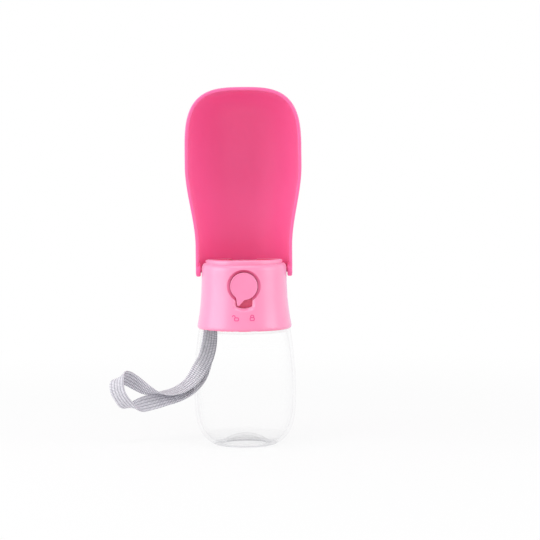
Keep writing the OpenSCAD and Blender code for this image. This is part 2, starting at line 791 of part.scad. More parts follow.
module hinge_pin(side) {
    color(deep_pink) along_x(side, pin_boss_x + 0.8, trough_neck_r - pin_recess, pin_r);
}

module hinge_pin_left() { hinge_pin(-1); }
module hinge_pin_right() { hinge_pin(1); }

module strap_bar() {
    half = strap_w / 2 + strap_play + lug_w - 2 * over;
    color(steel) rotate(strap_angle - 90) translate([-half, bar_at_r, bar_z]) rotate([0, 90, 0])
        cylinder(r = bar_r, h = 2 * half);
}

module wrist_strap() {
    color(webbing) swept(strap_rings(strap_line()), true);
}

echo(strap_gap = least_gap(strap_line(), 5, strap_t));
echo(spring_gap = (spring_seat_y - collar_y - collar_t - 2 * (wire_r + seat_fit)) / spring_turns - 2 * wire_r);

echo(neck_r = neck_r, flange_r = flange_r);

bottle();
neck_gasket();
inner_cap();
cap_screws();
head_shell();
rim_deck();
valve_body();
inlet_seal();
outlet_seal();
end_plug();
end_plug_seal();
valve_stem();
stem_seal_front();
stem_seal_rear();
poppet_seal();
poppet_clip();
return_spring();
push_button();
button_clip();
trough();
hinge_pin_left();
hinge_pin_right();
strap_bar();
wrist_strap();
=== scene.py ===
"""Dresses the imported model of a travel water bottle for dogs.

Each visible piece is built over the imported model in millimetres, which one constant turns to
metres, and every piece and every node of the model that stays visible gets its finish here.
"""

import logging
import math
from collections.abc import Callable, Iterable, Sequence
from dataclasses import dataclass, field
from enum import Enum

import bmesh
import bpy
from mathutils import Matrix, Vector


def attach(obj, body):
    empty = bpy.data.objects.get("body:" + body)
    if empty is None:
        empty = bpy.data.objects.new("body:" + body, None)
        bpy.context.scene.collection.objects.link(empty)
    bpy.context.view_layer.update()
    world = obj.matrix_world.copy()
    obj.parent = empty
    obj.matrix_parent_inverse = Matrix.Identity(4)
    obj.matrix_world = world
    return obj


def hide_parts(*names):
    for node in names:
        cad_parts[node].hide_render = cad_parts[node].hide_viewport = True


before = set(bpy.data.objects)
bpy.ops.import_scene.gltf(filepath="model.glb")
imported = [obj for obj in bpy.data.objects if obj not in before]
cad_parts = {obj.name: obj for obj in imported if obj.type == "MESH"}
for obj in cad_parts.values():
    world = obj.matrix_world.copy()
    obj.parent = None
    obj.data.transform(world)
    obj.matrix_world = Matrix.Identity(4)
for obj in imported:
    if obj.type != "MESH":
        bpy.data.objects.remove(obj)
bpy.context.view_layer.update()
LOG = logging.getLogger("water_bottle")
MM = 0.001
TURN = 2 * math.pi
Outline = list[tuple[float, float]]
Mesh = bmesh.types.BMesh
Tree = bpy.types.NodeTree
Socket = bpy.types.NodeSocket


class Slot(Enum):
    """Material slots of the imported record."""

    CLEAR = "clear_plastic"
    PINK = "pink_plastic"
    DEEP_PINK = "deep_pink_plastic"
    WHITE = "white_plastic"
    SILICONE = "silicone"
    STEEL = "steel"
    WEBBING = "webbing"


class Side(Enum):
    """Sides of the head that a hinge ear stands on."""

    LEFT = -1
    RIGHT = 1


# ---------------------------------------------------------------------------- materials


def linear(code: str) -> tuple[float, float, float, float]:
    """Turn an sRGB hex value into a linear colour.

    Args:
        code: The colour as "#RRGGBB".

    Returns:
        Red, green, blue and an alpha of 1.
    """
    parts = [int(code[i:i + 2], 16) / 255 for i in (1, 3, 5)]
    shades = [p / 12.92 if p <= 0.04045 else ((p + 0.055) / 1.055) ** 2.4 for p in parts]
    return shades[0], shades[1], shades[2], 1.0


def add_node(tree: Tree, kind: str, sockets: dict | None = None,
             **settings: object) -> bpy.types.Node:
    """Add a node with its settings and links.

    Args:
        tree: Node tree that the node joins.
        kind: Blender's type name of the node.
        sockets: Input name or number, with a value or the output that feeds it.
        settings: The node's own properties.

    Returns:
        The new node.
    """
    node = tree.nodes.new(kind)
    for key, value in settings.items():
        setattr(node, key, value)
    for key, value in (sockets or {}).items():
        if isinstance(value, Socket):
            tree.links.new(value, node.inputs[key])
        else:
            node.inputs[key].default_value = value
    return node


@dataclass(frozen=True)
class Finish:
    """A finish that makes its material once and hands it out again."""

    name: str

    def material(self) -> bpy.types.Material:
        """Return the finish's material, made at the first call.

        Returns:
            The material, ready for use.
        """
        made = bpy.data.materials.get(self.name)
        if made is None:
            made = bpy.data.materials.new(self.name)
            made.use_nodes = True
            made.node_tree.nodes.clear()
            shader = self.shade(made.node_tree)
            add_node(made.node_tree, "ShaderNodeOutputMaterial", {"Surface": shader})
        return made

    def shade(self, tree: Tree) -> Socket:
        """Build the nodes and return the shader's output."""
        raise NotImplementedError


@dataclass(frozen=True)
class MouldedPlastic(Finish):
    """ABS, injection moulded against a finely sparked steel mould.

    The sparked grain gives a satin gloss that breaks up highlights, and the melt's flow
    leaves faint clouds of colour.
    """

    tint: str = "#FA84B2"
    cloud: str = "#FF92BC"
    # Painted shade: deep in a recess light passes from wall to wall and the colour comes out
    # stronger, and the underside of the lower edge is darker; this colour paints both in
    deep: str = ""
    painted_shade_from_mm: float = 30.9
    painted_shade_to_mm: float = 25.0
    painted_foot_shade_z_mm: float = 0.0
    rough: float = 0.34
    specular: float = 0.5
    grain_mm: float = 1.0
    grain_depth_mm: float = 0.012
    coat: float = 0.1
    sheen: float = 0.0

    def shade(self, tree: Tree) -> Socket:
        """Build the nodes and return the shader's output.

        Args:
            tree: Node tree of the material.

        Returns:
            The shader's output.
        """
        place = add_node(tree, "ShaderNodeTexCoord").outputs["Object"]
        # The flow clouds are about 18 mm across
        flow = add_node(tree, "ShaderNodeTexNoise", {
            "Vector": place, "Scale": 1 / (18 * MM), "Detail": 3.0, "Roughness": 0.55})
        colour = add_node(tree, "ShaderNodeMix", {
            "Factor": flow.outputs["Fac"], "A": linear(self.tint), "B": linear(self.cloud)},
            data_type="RGBA").outputs["Result"]
        # Painted shade in recesses and under the lower edge
        if self.deep:
            colour = self.with_painted_shade(tree, place, colour)
        # Handling marks, about 6 mm long, take some gloss away
        marks = add_node(tree, "ShaderNodeTexNoise", {
            "Vector": place, "Scale": 1 / (6 * MM), "Detail": 2.0})
        gloss = add_node(tree, "ShaderNodeMapRange", {
            "Value": marks.outputs["Fac"], "From Min": 0.3, "From Max": 0.75,
            "To Min": self.rough - 0.03, "To Max": self.rough + 0.04})
        # Sparked grain is under 0.1 mm: drawn coarser, so that it shows at all
        grain = add_node(tree, "ShaderNodeTexNoise", {
            "Vector": place, "Scale": 1 / (self.grain_mm * MM), "Detail": 2.0})
        relief = add_node(tree, "ShaderNodeBump", {
            "Strength": 0.25, "Distance": self.grain_depth_mm * MM, "Height": grain.outputs["Fac"]})
        return add_node(tree, "ShaderNodeBsdfPrincipled", {
            "Base Color": colour, "Roughness": gloss.outputs["Result"],
            "Normal": relief.outputs["Normal"], "IOR": 1.53,
            "Specular IOR Level": self.specular, "Coat Weight": self.coat,
            "Coat Roughness": 0.2, "Sheen Weight": self.sheen, "Sheen Roughness": 0.5,
            "Sheen Tint": linear("#F6E6FF")}).outputs["BSDF"]

    def with_painted_shade(self, tree: Tree, place: Socket, colour: Socket) -> Socket:
        """Mix in painted shade, by the distance from the head's axis and under the lower edge.

        Args:
            tree: Node tree of the material.
            place: Object coordinates.
            colour: Colour of the open surface.

        Returns:
            The mixed colour.
        """
        flat = add_node(tree, "ShaderNodeVectorMath", {0: place, 1: (1.0, 1.0, 0.0)},
                        operation="MULTIPLY")
        reach = add_node(tree, "ShaderNodeVectorMath", {0: flat.outputs["Vector"]},
                         operation="LENGTH")
        depth = add_node(tree, "ShaderNodeMapRange", {
            "Value": reach.outputs["Value"], "From Min": self.painted_shade_from_mm * MM,
            "From Max": self.painted_shade_to_mm * MM})
        height = add_node(tree, "ShaderNodeSeparateXYZ", {0: place})
        # Painted shade: the underside of the lower edge turns away from the light, and is darkened
        # here
        foot = add_node(tree, "ShaderNodeMapRange", {
            "Value": height.outputs["Z"], "From Min": self.painted_foot_shade_z_mm * MM,
            "From Max": (self.painted_foot_shade_z_mm - 0.8) * MM})
        share = add_node(tree, "ShaderNodeMath", {
            0: depth.outputs["Result"], 1: foot.outputs["Result"]}, operation="MAXIMUM")
        return add_node(tree, "ShaderNodeMix", {
            "Factor": share.outputs["Value"], "A": colour, "B": linear(self.deep)},
            data_type="RGBA").outputs["Result"]


@dataclass(frozen=True)
class ClearPlastic(Finish):
    """SAN, blow moulded and clear.

    The thin wall hardly bends what is seen through it. It turns a soft grey where the eye looks
    along it, at its sides, its foot and its dome, because there the way through it is long. The
    grey at the ring it stands on is also a painted contact shadow.
    """

    tint: str = "#DCDCE0"
    face_on: float = 0.003
    edge_on: float = 0.26
    falloff: float = 4.5
    foot_wall_and_shadow_share: float = 0.5
    base_share: float = 0.05

    def shade(self, tree: Tree) -> Socket:
        """Build the nodes and return the shader's output.

        Args:
            tree: Node tree of the material.

        Returns:
            The shader's output.
        """
        place = add_node(tree, "ShaderNodeTexCoord").outputs["Object"]
        smear = add_node(tree, "ShaderNodeTexNoise", {
            "Vector": place, "Scale": 1 / (9 * MM), "Detail": 2.0})
        gloss = add_node(tree, "ShaderNodeMapRange", {
            "Value": smear.outputs["Fac"], "From Min": 0.35, "From Max": 0.8,
            "To Min": 0.05, "To Max": 0.12})
        slant = add_node(tree, "ShaderNodeLayerWeight", {"Blend": 0.5})
        steep = add_node(tree, "ShaderNodeMath", {
            0: slant.outputs["Facing"], 1: self.falloff}, operation="POWER")
        body = add_node(tree, "ShaderNodeMapRange", {
            "Value": steep.outputs["Value"], "To Min": self.face_on, "To Max": self.edge_on})
        # The blown wall is thickest at the ring it stands on and in the dome; the extra grey at the
        # ring is also a painted contact shadow
        height = add_node(tree, "ShaderNodeSeparateXYZ", {0: place})
        ring = add_node(tree, "ShaderNodeMapRange", {
            "Value": height.outputs["Z"], "From Min": 1.6 * MM, "From Max": 0.2 * MM,
            "To Max": self.foot_wall_and_shadow_share})
        dome = add_node(tree, "ShaderNodeMapRange", {
            "Value": height.outputs["Z"], "From Min": 9.5 * MM, "From Max": 6.5 * MM,
            "To Max": self.base_share}, interpolation_type="SMOOTHSTEP")
        thick_wall_and_shadow = add_node(tree, "ShaderNodeMath", {
            0: ring.outputs["Result"], 1: dome.outputs["Result"]}, operation="ADD")
        whole = add_node(tree, "ShaderNodeMath", {
            0: body.outputs["Result"], 1: thick_wall_and_shadow.outputs["Value"]}, operation="ADD", use_clamp=True)
        return add_node(tree, "ShaderNodeBsdfPrincipled", {
            "Base Color": linear(self.tint), "Roughness": gloss.outputs["Result"],
            "IOR": 1.3, "Alpha": whole.outputs["Value"]}).outputs["BSDF"]


@dataclass(frozen=True)
class WovenWebbing(Finish):
    """Polyester yarn, woven as flat tape with ribs along it.

    The weft crosses the ribs in short bricks, and the yarn has a soft sheen at its edges.
    Reads the strap's UV map, which is in shares of its girth and of its length.
    """

    yarn: str = "#F3F1F7"
    second_yarn: str = "#E4E2EA"
    # Painted shade: the darker colour between the bricks stands for the shade in the grooves of
    # ribs and weft
    painted_shade_between: str = "#9B9AA4"
    girth_mm: float = 26.0
    length_mm: float = 450.0
    # Real weft is about 0.6 mm: drawn at 1.5 mm, as coarse as it needs to show
    weft_mm: float = 1.5
    rib_mm: float = 2.2

    def shade(self, tree: Tree) -> Socket:
        """Build the nodes and return the shader's output.

        Args:
            tree: Node tree of the material.

        Returns:
            The shader's output.
        """
        uv = add_node(tree, "ShaderNodeTexCoord").outputs["UV"]
        metric = add_node(tree, "ShaderNodeMapping", {
            "Vector": uv, "Scale": (self.girth_mm, self.length_mm, 1.0)})
        bricks = add_node(tree, "ShaderNodeTexBrick", {
            "Vector": metric.outputs["Vector"], "Color1": linear(self.yarn),
            "Color2": linear(self.second_yarn), "Mortar": linear(self.painted_shade_between), "Scale": 1.0,
            "Mortar Size": 0.3, "Mortar Smooth": 0.5, "Brick Width": self.rib_mm,
            "Row Height": self.weft_mm}, offset=0.0)
        fuzz = add_node(tree, "ShaderNodeTexNoise", {
            "Vector": metric.outputs["Vector"], "Scale": 3.0, "Detail": 4.0})
        colour = add_node(tree, "ShaderNodeMix", {
            "Factor": 0.25, "A": bricks.outputs["Color"], "B": fuzz.outputs["Color"]},
            data_type="RGBA", blend_type="SOFT_LIGHT")
        height = add_node(tree, "ShaderNodeMath", {
            0: fuzz.outputs["Fac"], 1: bricks.outputs["Fac"]}, operation="SUBTRACT")
        relief = add_node(tree, "ShaderNodeBump", {
            "Strength": 0.7, "Distance": 0.12 * MM, "Height": height.outputs["Value"]})
        return add_node(tree, "ShaderNodeBsdfPrincipled", {
            "Base Color": colour.outputs["Result"], "Roughness": 0.72,
            "Normal": relief.outputs["Normal"], "Sheen Weight": 0.35,
            "Sheen Roughness": 0.4}).outputs["BSDF"]


@dataclass(frozen=True)
class Grained(Finish):
    """A finish whose one grain varies colour, gloss and relief alike."""

    tint: str
    second_tint: str
    grain_mm: float
    detail: float
    least_rough: float
    most_rough: float
    relief: float
    relief_depth_mm: float
    ior: float = 1.5
    metallic: float = 0.0

    def shade(self, tree: Tree) -> Socket:
        """Build the nodes and return the shader's output.

        Args:
            tree: Node tree of the material.

        Returns:
            The shader's output.
        """
        place = add_node(tree, "ShaderNodeTexCoord").outputs["Object"]
        grain = add_node(tree, "ShaderNodeTexNoise", {
            "Vector": place, "Scale": 1 / (self.grain_mm * MM),
            "Detail": self.detail}).outputs["Fac"]
        colour = add_node(tree, "ShaderNodeMix", {
            "Factor": grain, "A": linear(self.tint), "B": linear(self.second_tint)},
            data_type="RGBA")
        gloss = add_node(tree, "ShaderNodeMapRange", {
            "Value": grain, "To Min": self.least_rough, "To Max": self.most_rough})
        relief = add_node(tree, "ShaderNodeBump", {
            "Strength": self.relief, "Distance": self.relief_depth_mm * MM, "Height": grain})
        return add_node(tree, "ShaderNodeBsdfPrincipled", {
            "Base Color": colour.outputs["Result"], "Roughness": gloss.outputs["Result"],
            "Normal": relief.outputs["Normal"], "IOR": self.ior,
            "Metallic": self.metallic}).outputs["BSDF"]


# Painted shade: the deep colours darken the head's well and lower edge, and the rim's inside
HEAD_PLASTIC = MouldedPlastic(
    "abs_satin_pink_shell", deep="#FF4C86", painted_shade_from_mm=29.8, painted_foot_shade_z_mm=87.9, sheen=0.8,
    specular=0.8)
RIM_PLASTIC = MouldedPlastic(
    "abs_satin_pink_rim", deep="#E83C74", painted_shade_from_mm=26.4, painted_shade_to_mm=25.3, sheen=0.8,
    specular=0.8)
BUTTON_PLASTIC = MouldedPlastic("abs_satin_pink_button", sheen=0.8)
TROUGH_PLASTIC = MouldedPlastic(
    "abs_satin_deep_pink", tint="#FC66A6", cloud="#FD6FAC", rough=0.5, coat=0.0, sheen=0.25)
# Painted shade: the marks' darker pink stands in for the shade along their lines
SHADE_PAINTED_MARK_PLASTIC = MouldedPlastic(
    "abs_marks_painted_shade_pink", tint="#EE4F90", cloud="#F25C98", rough=0.4, coat=0.0)
VALVE_PLASTIC = MouldedPlastic(
    "polypropylene_moulded_white", tint="#E6E6EA", cloud="#EFEFF2", rough=0.42, coat=0.0)
BOTTLE_PLASTIC = ClearPlastic("san_blown_clear")
STRAP_WEBBING = WovenWebbing("polyester_webbing_grey")
# Silicone rubber, compression moulded: soft, matt and a little dusty
SEAL_SILICONE = Grained(
    "silicone_moulded_grey", "#D6D9DE", "#C6CAD1", grain_mm=1.2, detail=5.0, least_rough=0.5,
    most_rough=0.65, relief=0.4, relief_depth_mm=0.01, ior=1.41)
# Stainless steel, cold drawn or stamped: bright, with fine lines from the die
WIRE_STEEL = Grained(
    "stainless_steel_drawn", "#C8C9CC", "#B4B6BA", grain_mm=0.25, detail=3.0, least_rough=0.18,
    most_rough=0.34, relief=0.3, relief_depth_mm=0.005, metallic=1.0)


# ---------------------------------------------------------------------------- mesh tools


def in_order(bm: Mesh) -> Mesh:
    """Rebuild a mesh with its points and faces in a fixed order.

    Blender's spin and booleans hand them over in an order that changes from run to run, and
    the next step would pass that on to the shape.

    Args:
        bm: The mesh, which is used up.

    Returns:
        The same mesh, in the same order in each run.
    """
    points = sorted(bm.verts, key=lambda v: tuple(v.co))
    place = {v: i for i, v in enumerate(points)}
    rings = {}
    for face in bm.faces:
        ring = [place[v] for v in face.verts]
        first = ring.index(min(ring))
        rings[frozenset(ring)] = ring[first:] + ring[:first]
    out = bmesh.new()
    verts = [out.verts.new(v.co) for v in points]
    for ring in sorted(rings.values()):
        out.faces.new([verts[i] for i in ring])
    out.normal_update()
    bm.free()
    return out


def spun(outline: Outline, steps: int, closed: bool = False) -> Mesh:
    """Spin an outline of radius and height, in mm, once round +Z.

    Args:
        outline: The outline's points.
        steps: Faces round the axis.
        closed: Whether the last point joins the first.

    Returns:
        A mesh whose seam and poles are closed.
    """
    bm = bmesh.new()
    line = [bm.verts.new((r * MM, 0, z * MM)) for r, z in outline]
    ends = line[1:] + line[:1] if closed else line[1:]
    edges = [bm.edges.new(pair) for pair in zip(line, ends)]
    bmesh.ops.spin(bm, geom=line + edges, cent=(0, 0, 0), axis=(0, 0, 1), dvec=(0, 0, 0),
                   angle=TURN, steps=steps, use_merge=True, use_duplicate=False)
    bmesh.ops.remove_doubles(bm, verts=bm.verts, dist=0.0005 * MM)
    bmesh.ops.recalc_face_normals(bm, faces=bm.faces)
    return in_order(bm)


def grown(bm: Mesh, faces: Sequence[bmesh.types.BMFace]) -> list[bmesh.types.BMVert]:
    """Extrude faces and return the new points, which still lie on the old ones."""
    made = bmesh.ops.extrude_face_region(bm, geom=faces)["geom"]
    return [v for v in made if isinstance(v, bmesh.types.BMVert)]


def swivel(bm: Mesh, angle: float, axis: str) -> None:
    """Turn a mesh round an axis through the origin, by an angle in radians."""
    bmesh.ops.rotate(bm, verts=bm.verts, cent=(0, 0, 0), matrix=Matrix.Rotation(angle, 3, axis))


def prism(outline: Outline, y0: float, y1: float, corners: Iterable[int] = (),
          corner_r: float = 0.0) -> Mesh:
    """Extrude an outline of x and z along +Y, in mm.

    Args:
        outline: The outline's points.
        y0: Where the prism starts.
        y1: Where it ends.
        corners: Numbers of the points whose corners are rounded.
        corner_r: Radius of that rounding.

    Returns:
        A closed mesh.
    """
    bm = bmesh.new()
    verts = [bm.verts.new((x * MM, y0 * MM, z * MM)) for x, z in outline]
    bm.faces.new(verts)
    chosen = [verts[i] for i in corners]
    if chosen:
        bmesh.ops.bevel(bm, geom=chosen, offset=corner_r * MM, offset_type="OFFSET", segments=5,
                        profile=0.5, affect="VERTICES", clamp_overlap=True, material=-1)
    bmesh.ops.translate(bm, verts=grown(bm, bm.faces[:]), vec=(0, (y1 - y0) * MM, 0))
    bmesh.ops.recalc_face_normals(bm, faces=bm.faces)
    return bm


def rod(r0: float, r1: float, start: Sequence[float], end: Sequence[float],
        sides: int = 48) -> Mesh:
    """Make a round rod or cone between two points, in mm.

    Args:
        r0: Radius at the start.
        r1: Radius at the end.
        start: First point of the axis.
        end: Last point of the axis.
        sides: Faces round the axis.

    Returns:
        A closed mesh.
    """
    a, b = Vector(start) * MM, Vector(end) * MM
    turn = (b - a).to_track_quat("Z", "Y").to_matrix().to_4x4()
    bm = bmesh.new()
    bmesh.ops.create_cone(bm, cap_ends=True, cap_tris=False, segments=sides, radius1=r0 * MM,
                          radius2=r1 * MM, depth=(b - a).length,
                          matrix=Matrix.Translation((a + b) / 2) @ turn)
    return bm


def box(size: Sequence[float], middle: Sequence[float]) -> Mesh:
    """Make a box of a size round a point, in mm.

    Args:
        size: Its lengths along X, Y and Z.
        middle: The point.

    Returns:
        A closed mesh.
    """
    bm = bmesh.new()
    bmesh.ops.create_cube(bm, size=1.0)
    bmesh.ops.scale(bm, verts=bm.verts, vec=[v * MM for v in size])
    bmesh.ops.translate(bm, verts=bm.verts, vec=[v * MM for v in middle])
    return bm


def as_object(bm: Mesh, name: str) -> bpy.types.Object:
    """Put a mesh into a new object of the scene and free it.

    Args:
        bm: The mesh, which is used up.
        name: Name of the object and its mesh.

    Returns:
        The object.
    """
    mesh = bpy.data.meshes.new(name)
    bm.to_mesh(mesh)
    bm.free()
    made = bpy.data.objects.new(name, mesh)
    bpy.context.scene.collection.objects.link(made)
    return made


def modified(bm: Mesh, kind: str, tool: Mesh | None = None,
             **settings: object) -> Mesh:
    """Run one modifier over a mesh and hand back its result.

    Args:
        bm: The mesh, which is used up.
        kind: Blender's type name of the modifier.
        tool: Second mesh of a boolean, which is used up too.
        settings: The modifier's own properties.

    Returns:
        The new mesh.
    """
    work = as_object(bm, "workpiece")
    change = work.modifiers.new(kind, kind)
    helper = as_object(tool, "tool") if tool else None
    if helper:
        change.object = helper
    for key, value in settings.items():
        setattr(change, key, value)
    bpy.context.view_layer.update()
    done = work.evaluated_get(bpy.context.evaluated_depsgraph_get())
    out = bmesh.new()
    out.from_mesh(done.to_mesh())
    done.to_mesh_clear()
    for spent in filter(None, (work, helper)):
        mesh = spent.data
        bpy.data.objects.remove(spent)
        bpy.data.meshes.remove(mesh)
    return in_order(out)


def cut(bm: Mesh, *tools: Mesh) -> Mesh:
    """Cut each tool's space out of a mesh.

    Args:
        bm: The mesh, which is used up.
        tools: The spaces, which are used up too.

    Returns:
        The mesh that is left.
    """
    for tool in tools:
        bm = modified(bm, "BOOLEAN", tool, operation="DIFFERENCE", solver="EXACT")
    return bm


def joined(bm: Mesh, *tools: Mesh) -> Mesh:
    """Unite a mesh with others.

    Args:
        bm: The mesh, which is used up.
        tools: The others, which are used up too.

    Returns:
        The united mesh.
    """
    for tool in tools:
        bm = modified(bm, "BOOLEAN", tool, operation="UNION", solver="EXACT")
    return bm


def common(bm: Mesh, tool: Mesh) -> Mesh:
    """Keep the space that two meshes share."""
    return modified(bm, "BOOLEAN", tool, operation="INTERSECT", solver="EXACT")


def sharp_edges(bm: Mesh, least_deg: float,
                where: Callable[[Vector], bool]) -> list[bmesh.types.BMEdge]:
    """Return the edges whose faces meet at more than an angle, where the test holds.

    Args:
        bm: The mesh.
        least_deg: The angle.
        where: Test of an edge's middle, in mm.

    Returns:
        The edges.
    """
    return [e for e in bm.edges if len(e.link_faces) == 2
            and e.calc_face_angle(0) > math.radians(least_deg)
            and where((e.verts[0].co + e.verts[1].co) / (2 * MM))]


def clear_round(bm: Mesh, edges: Sequence[bmesh.types.BMEdge], least: float) -> None:
    """Weld points that lie too near to a line of edges onto it, so that a bevel has room.

    Args:
        bm: The mesh.
        edges: Edges of the line.
        least: Least distance in mm that any other point keeps from the line's points.
    """
    # A dict and not a set, so that the order, and with it the mesh, is the same in each run
    line = list(dict.fromkeys(v for e in edges for v in e.verts))
    bmesh.ops.remove_doubles(bm, verts=line, dist=0.5 * least * MM)
    line = [v for v in line if v.is_valid]
    doubles = bmesh.ops.find_doubles(bm, verts=bm.verts, keep_verts=line, dist=least * MM)
    kept = set(line)
    targets = {v: w for v, w in doubles["targetmap"].items() if v not in kept}
    bmesh.ops.weld_verts(bm, targetmap=targets)
    bmesh.ops.dissolve_degenerate(bm, edges=bm.edges, dist=0.01 * MM)


def soften(bm: Mesh, width: float, segments: int, least_deg: float,
           where: Callable[[Vector], bool] = lambda _: True, room: float = 0.0) -> None:
    """Bevel the sharp edges of a mesh, in place.

    Args:
        bm: The mesh.
        width: Width of the bevel in mm.
        segments: Faces across the bevel.
        least_deg: Least angle between an edge's faces.
        where: Test of an edge's middle, in mm.
        room: Distance in mm that is cleared of other points first.
    """
    bmesh.ops.remove_doubles(bm, verts=bm.verts, dist=0.02 * MM)
    bmesh.ops.dissolve_degenerate(bm, edges=bm.edges, dist=0.02 * MM)
    if room:
        clear_round(bm, sharp_edges(bm, least_deg, where), room)
    bmesh.ops.bevel(bm, geom=sharp_edges(bm, least_deg, where), offset=width * MM,
                    offset_type="OFFSET", segments=segments, profile=0.5, affect="EDGES",
                    clamp_overlap=False, material=-1)


def piece(bm: Mesh, name: str, finish: Finish, body: str,
          stands_for: Sequence[str] = (), smooth_deg: float = 32.0) -> bpy.types.Object:
    """Turn a mesh into a dressed piece that rides on a body.

    Args:
        bm: The mesh, which is used up.
        name: Name of the piece.
        finish: Its finish.
        body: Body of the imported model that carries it.
        stands_for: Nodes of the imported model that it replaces.
        smooth_deg: Edges sharper than this stay sharp in shading.

    Returns:
        The piece.
    """
    made = as_object(bm, name)
    made.data.shade_smooth()
    made.data.set_sharp_from_angle(angle=math.radians(smooth_deg))
    made.data.materials.append(finish.material())
    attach(made, body)
    if stands_for:
        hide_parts(*stands_for)
    LOG.info("%s: %d faces on %s", name, len(made.data.polygons), body)
    return made


def dress(nodes: Iterable[str], finish: Finish) -> None:
    """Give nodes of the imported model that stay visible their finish.

    Args:
        nodes: Names of the nodes.
        finish: Their finish.
    """
    for name in nodes:
        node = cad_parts[name]
        for slot in node.material_slots:
            slot.link = "OBJECT"
            slot.material = finish.material()
        LOG.info("%s: dressed in %s", name, finish.name)


def arc(r0: float, z0: float, r: float, from_deg: float, to_deg: float, steps: int) -> Outline:
    """Return points of an arc round (r0, z0)."""
    turns = [math.radians(from_deg + (to_deg - from_deg) * i / steps) for i in range(steps + 1)]
    return [(r0 + r * math.cos(a), z0 + r * math.sin(a)) for a in turns]


# ---------------------------------------------------------------------------- studio


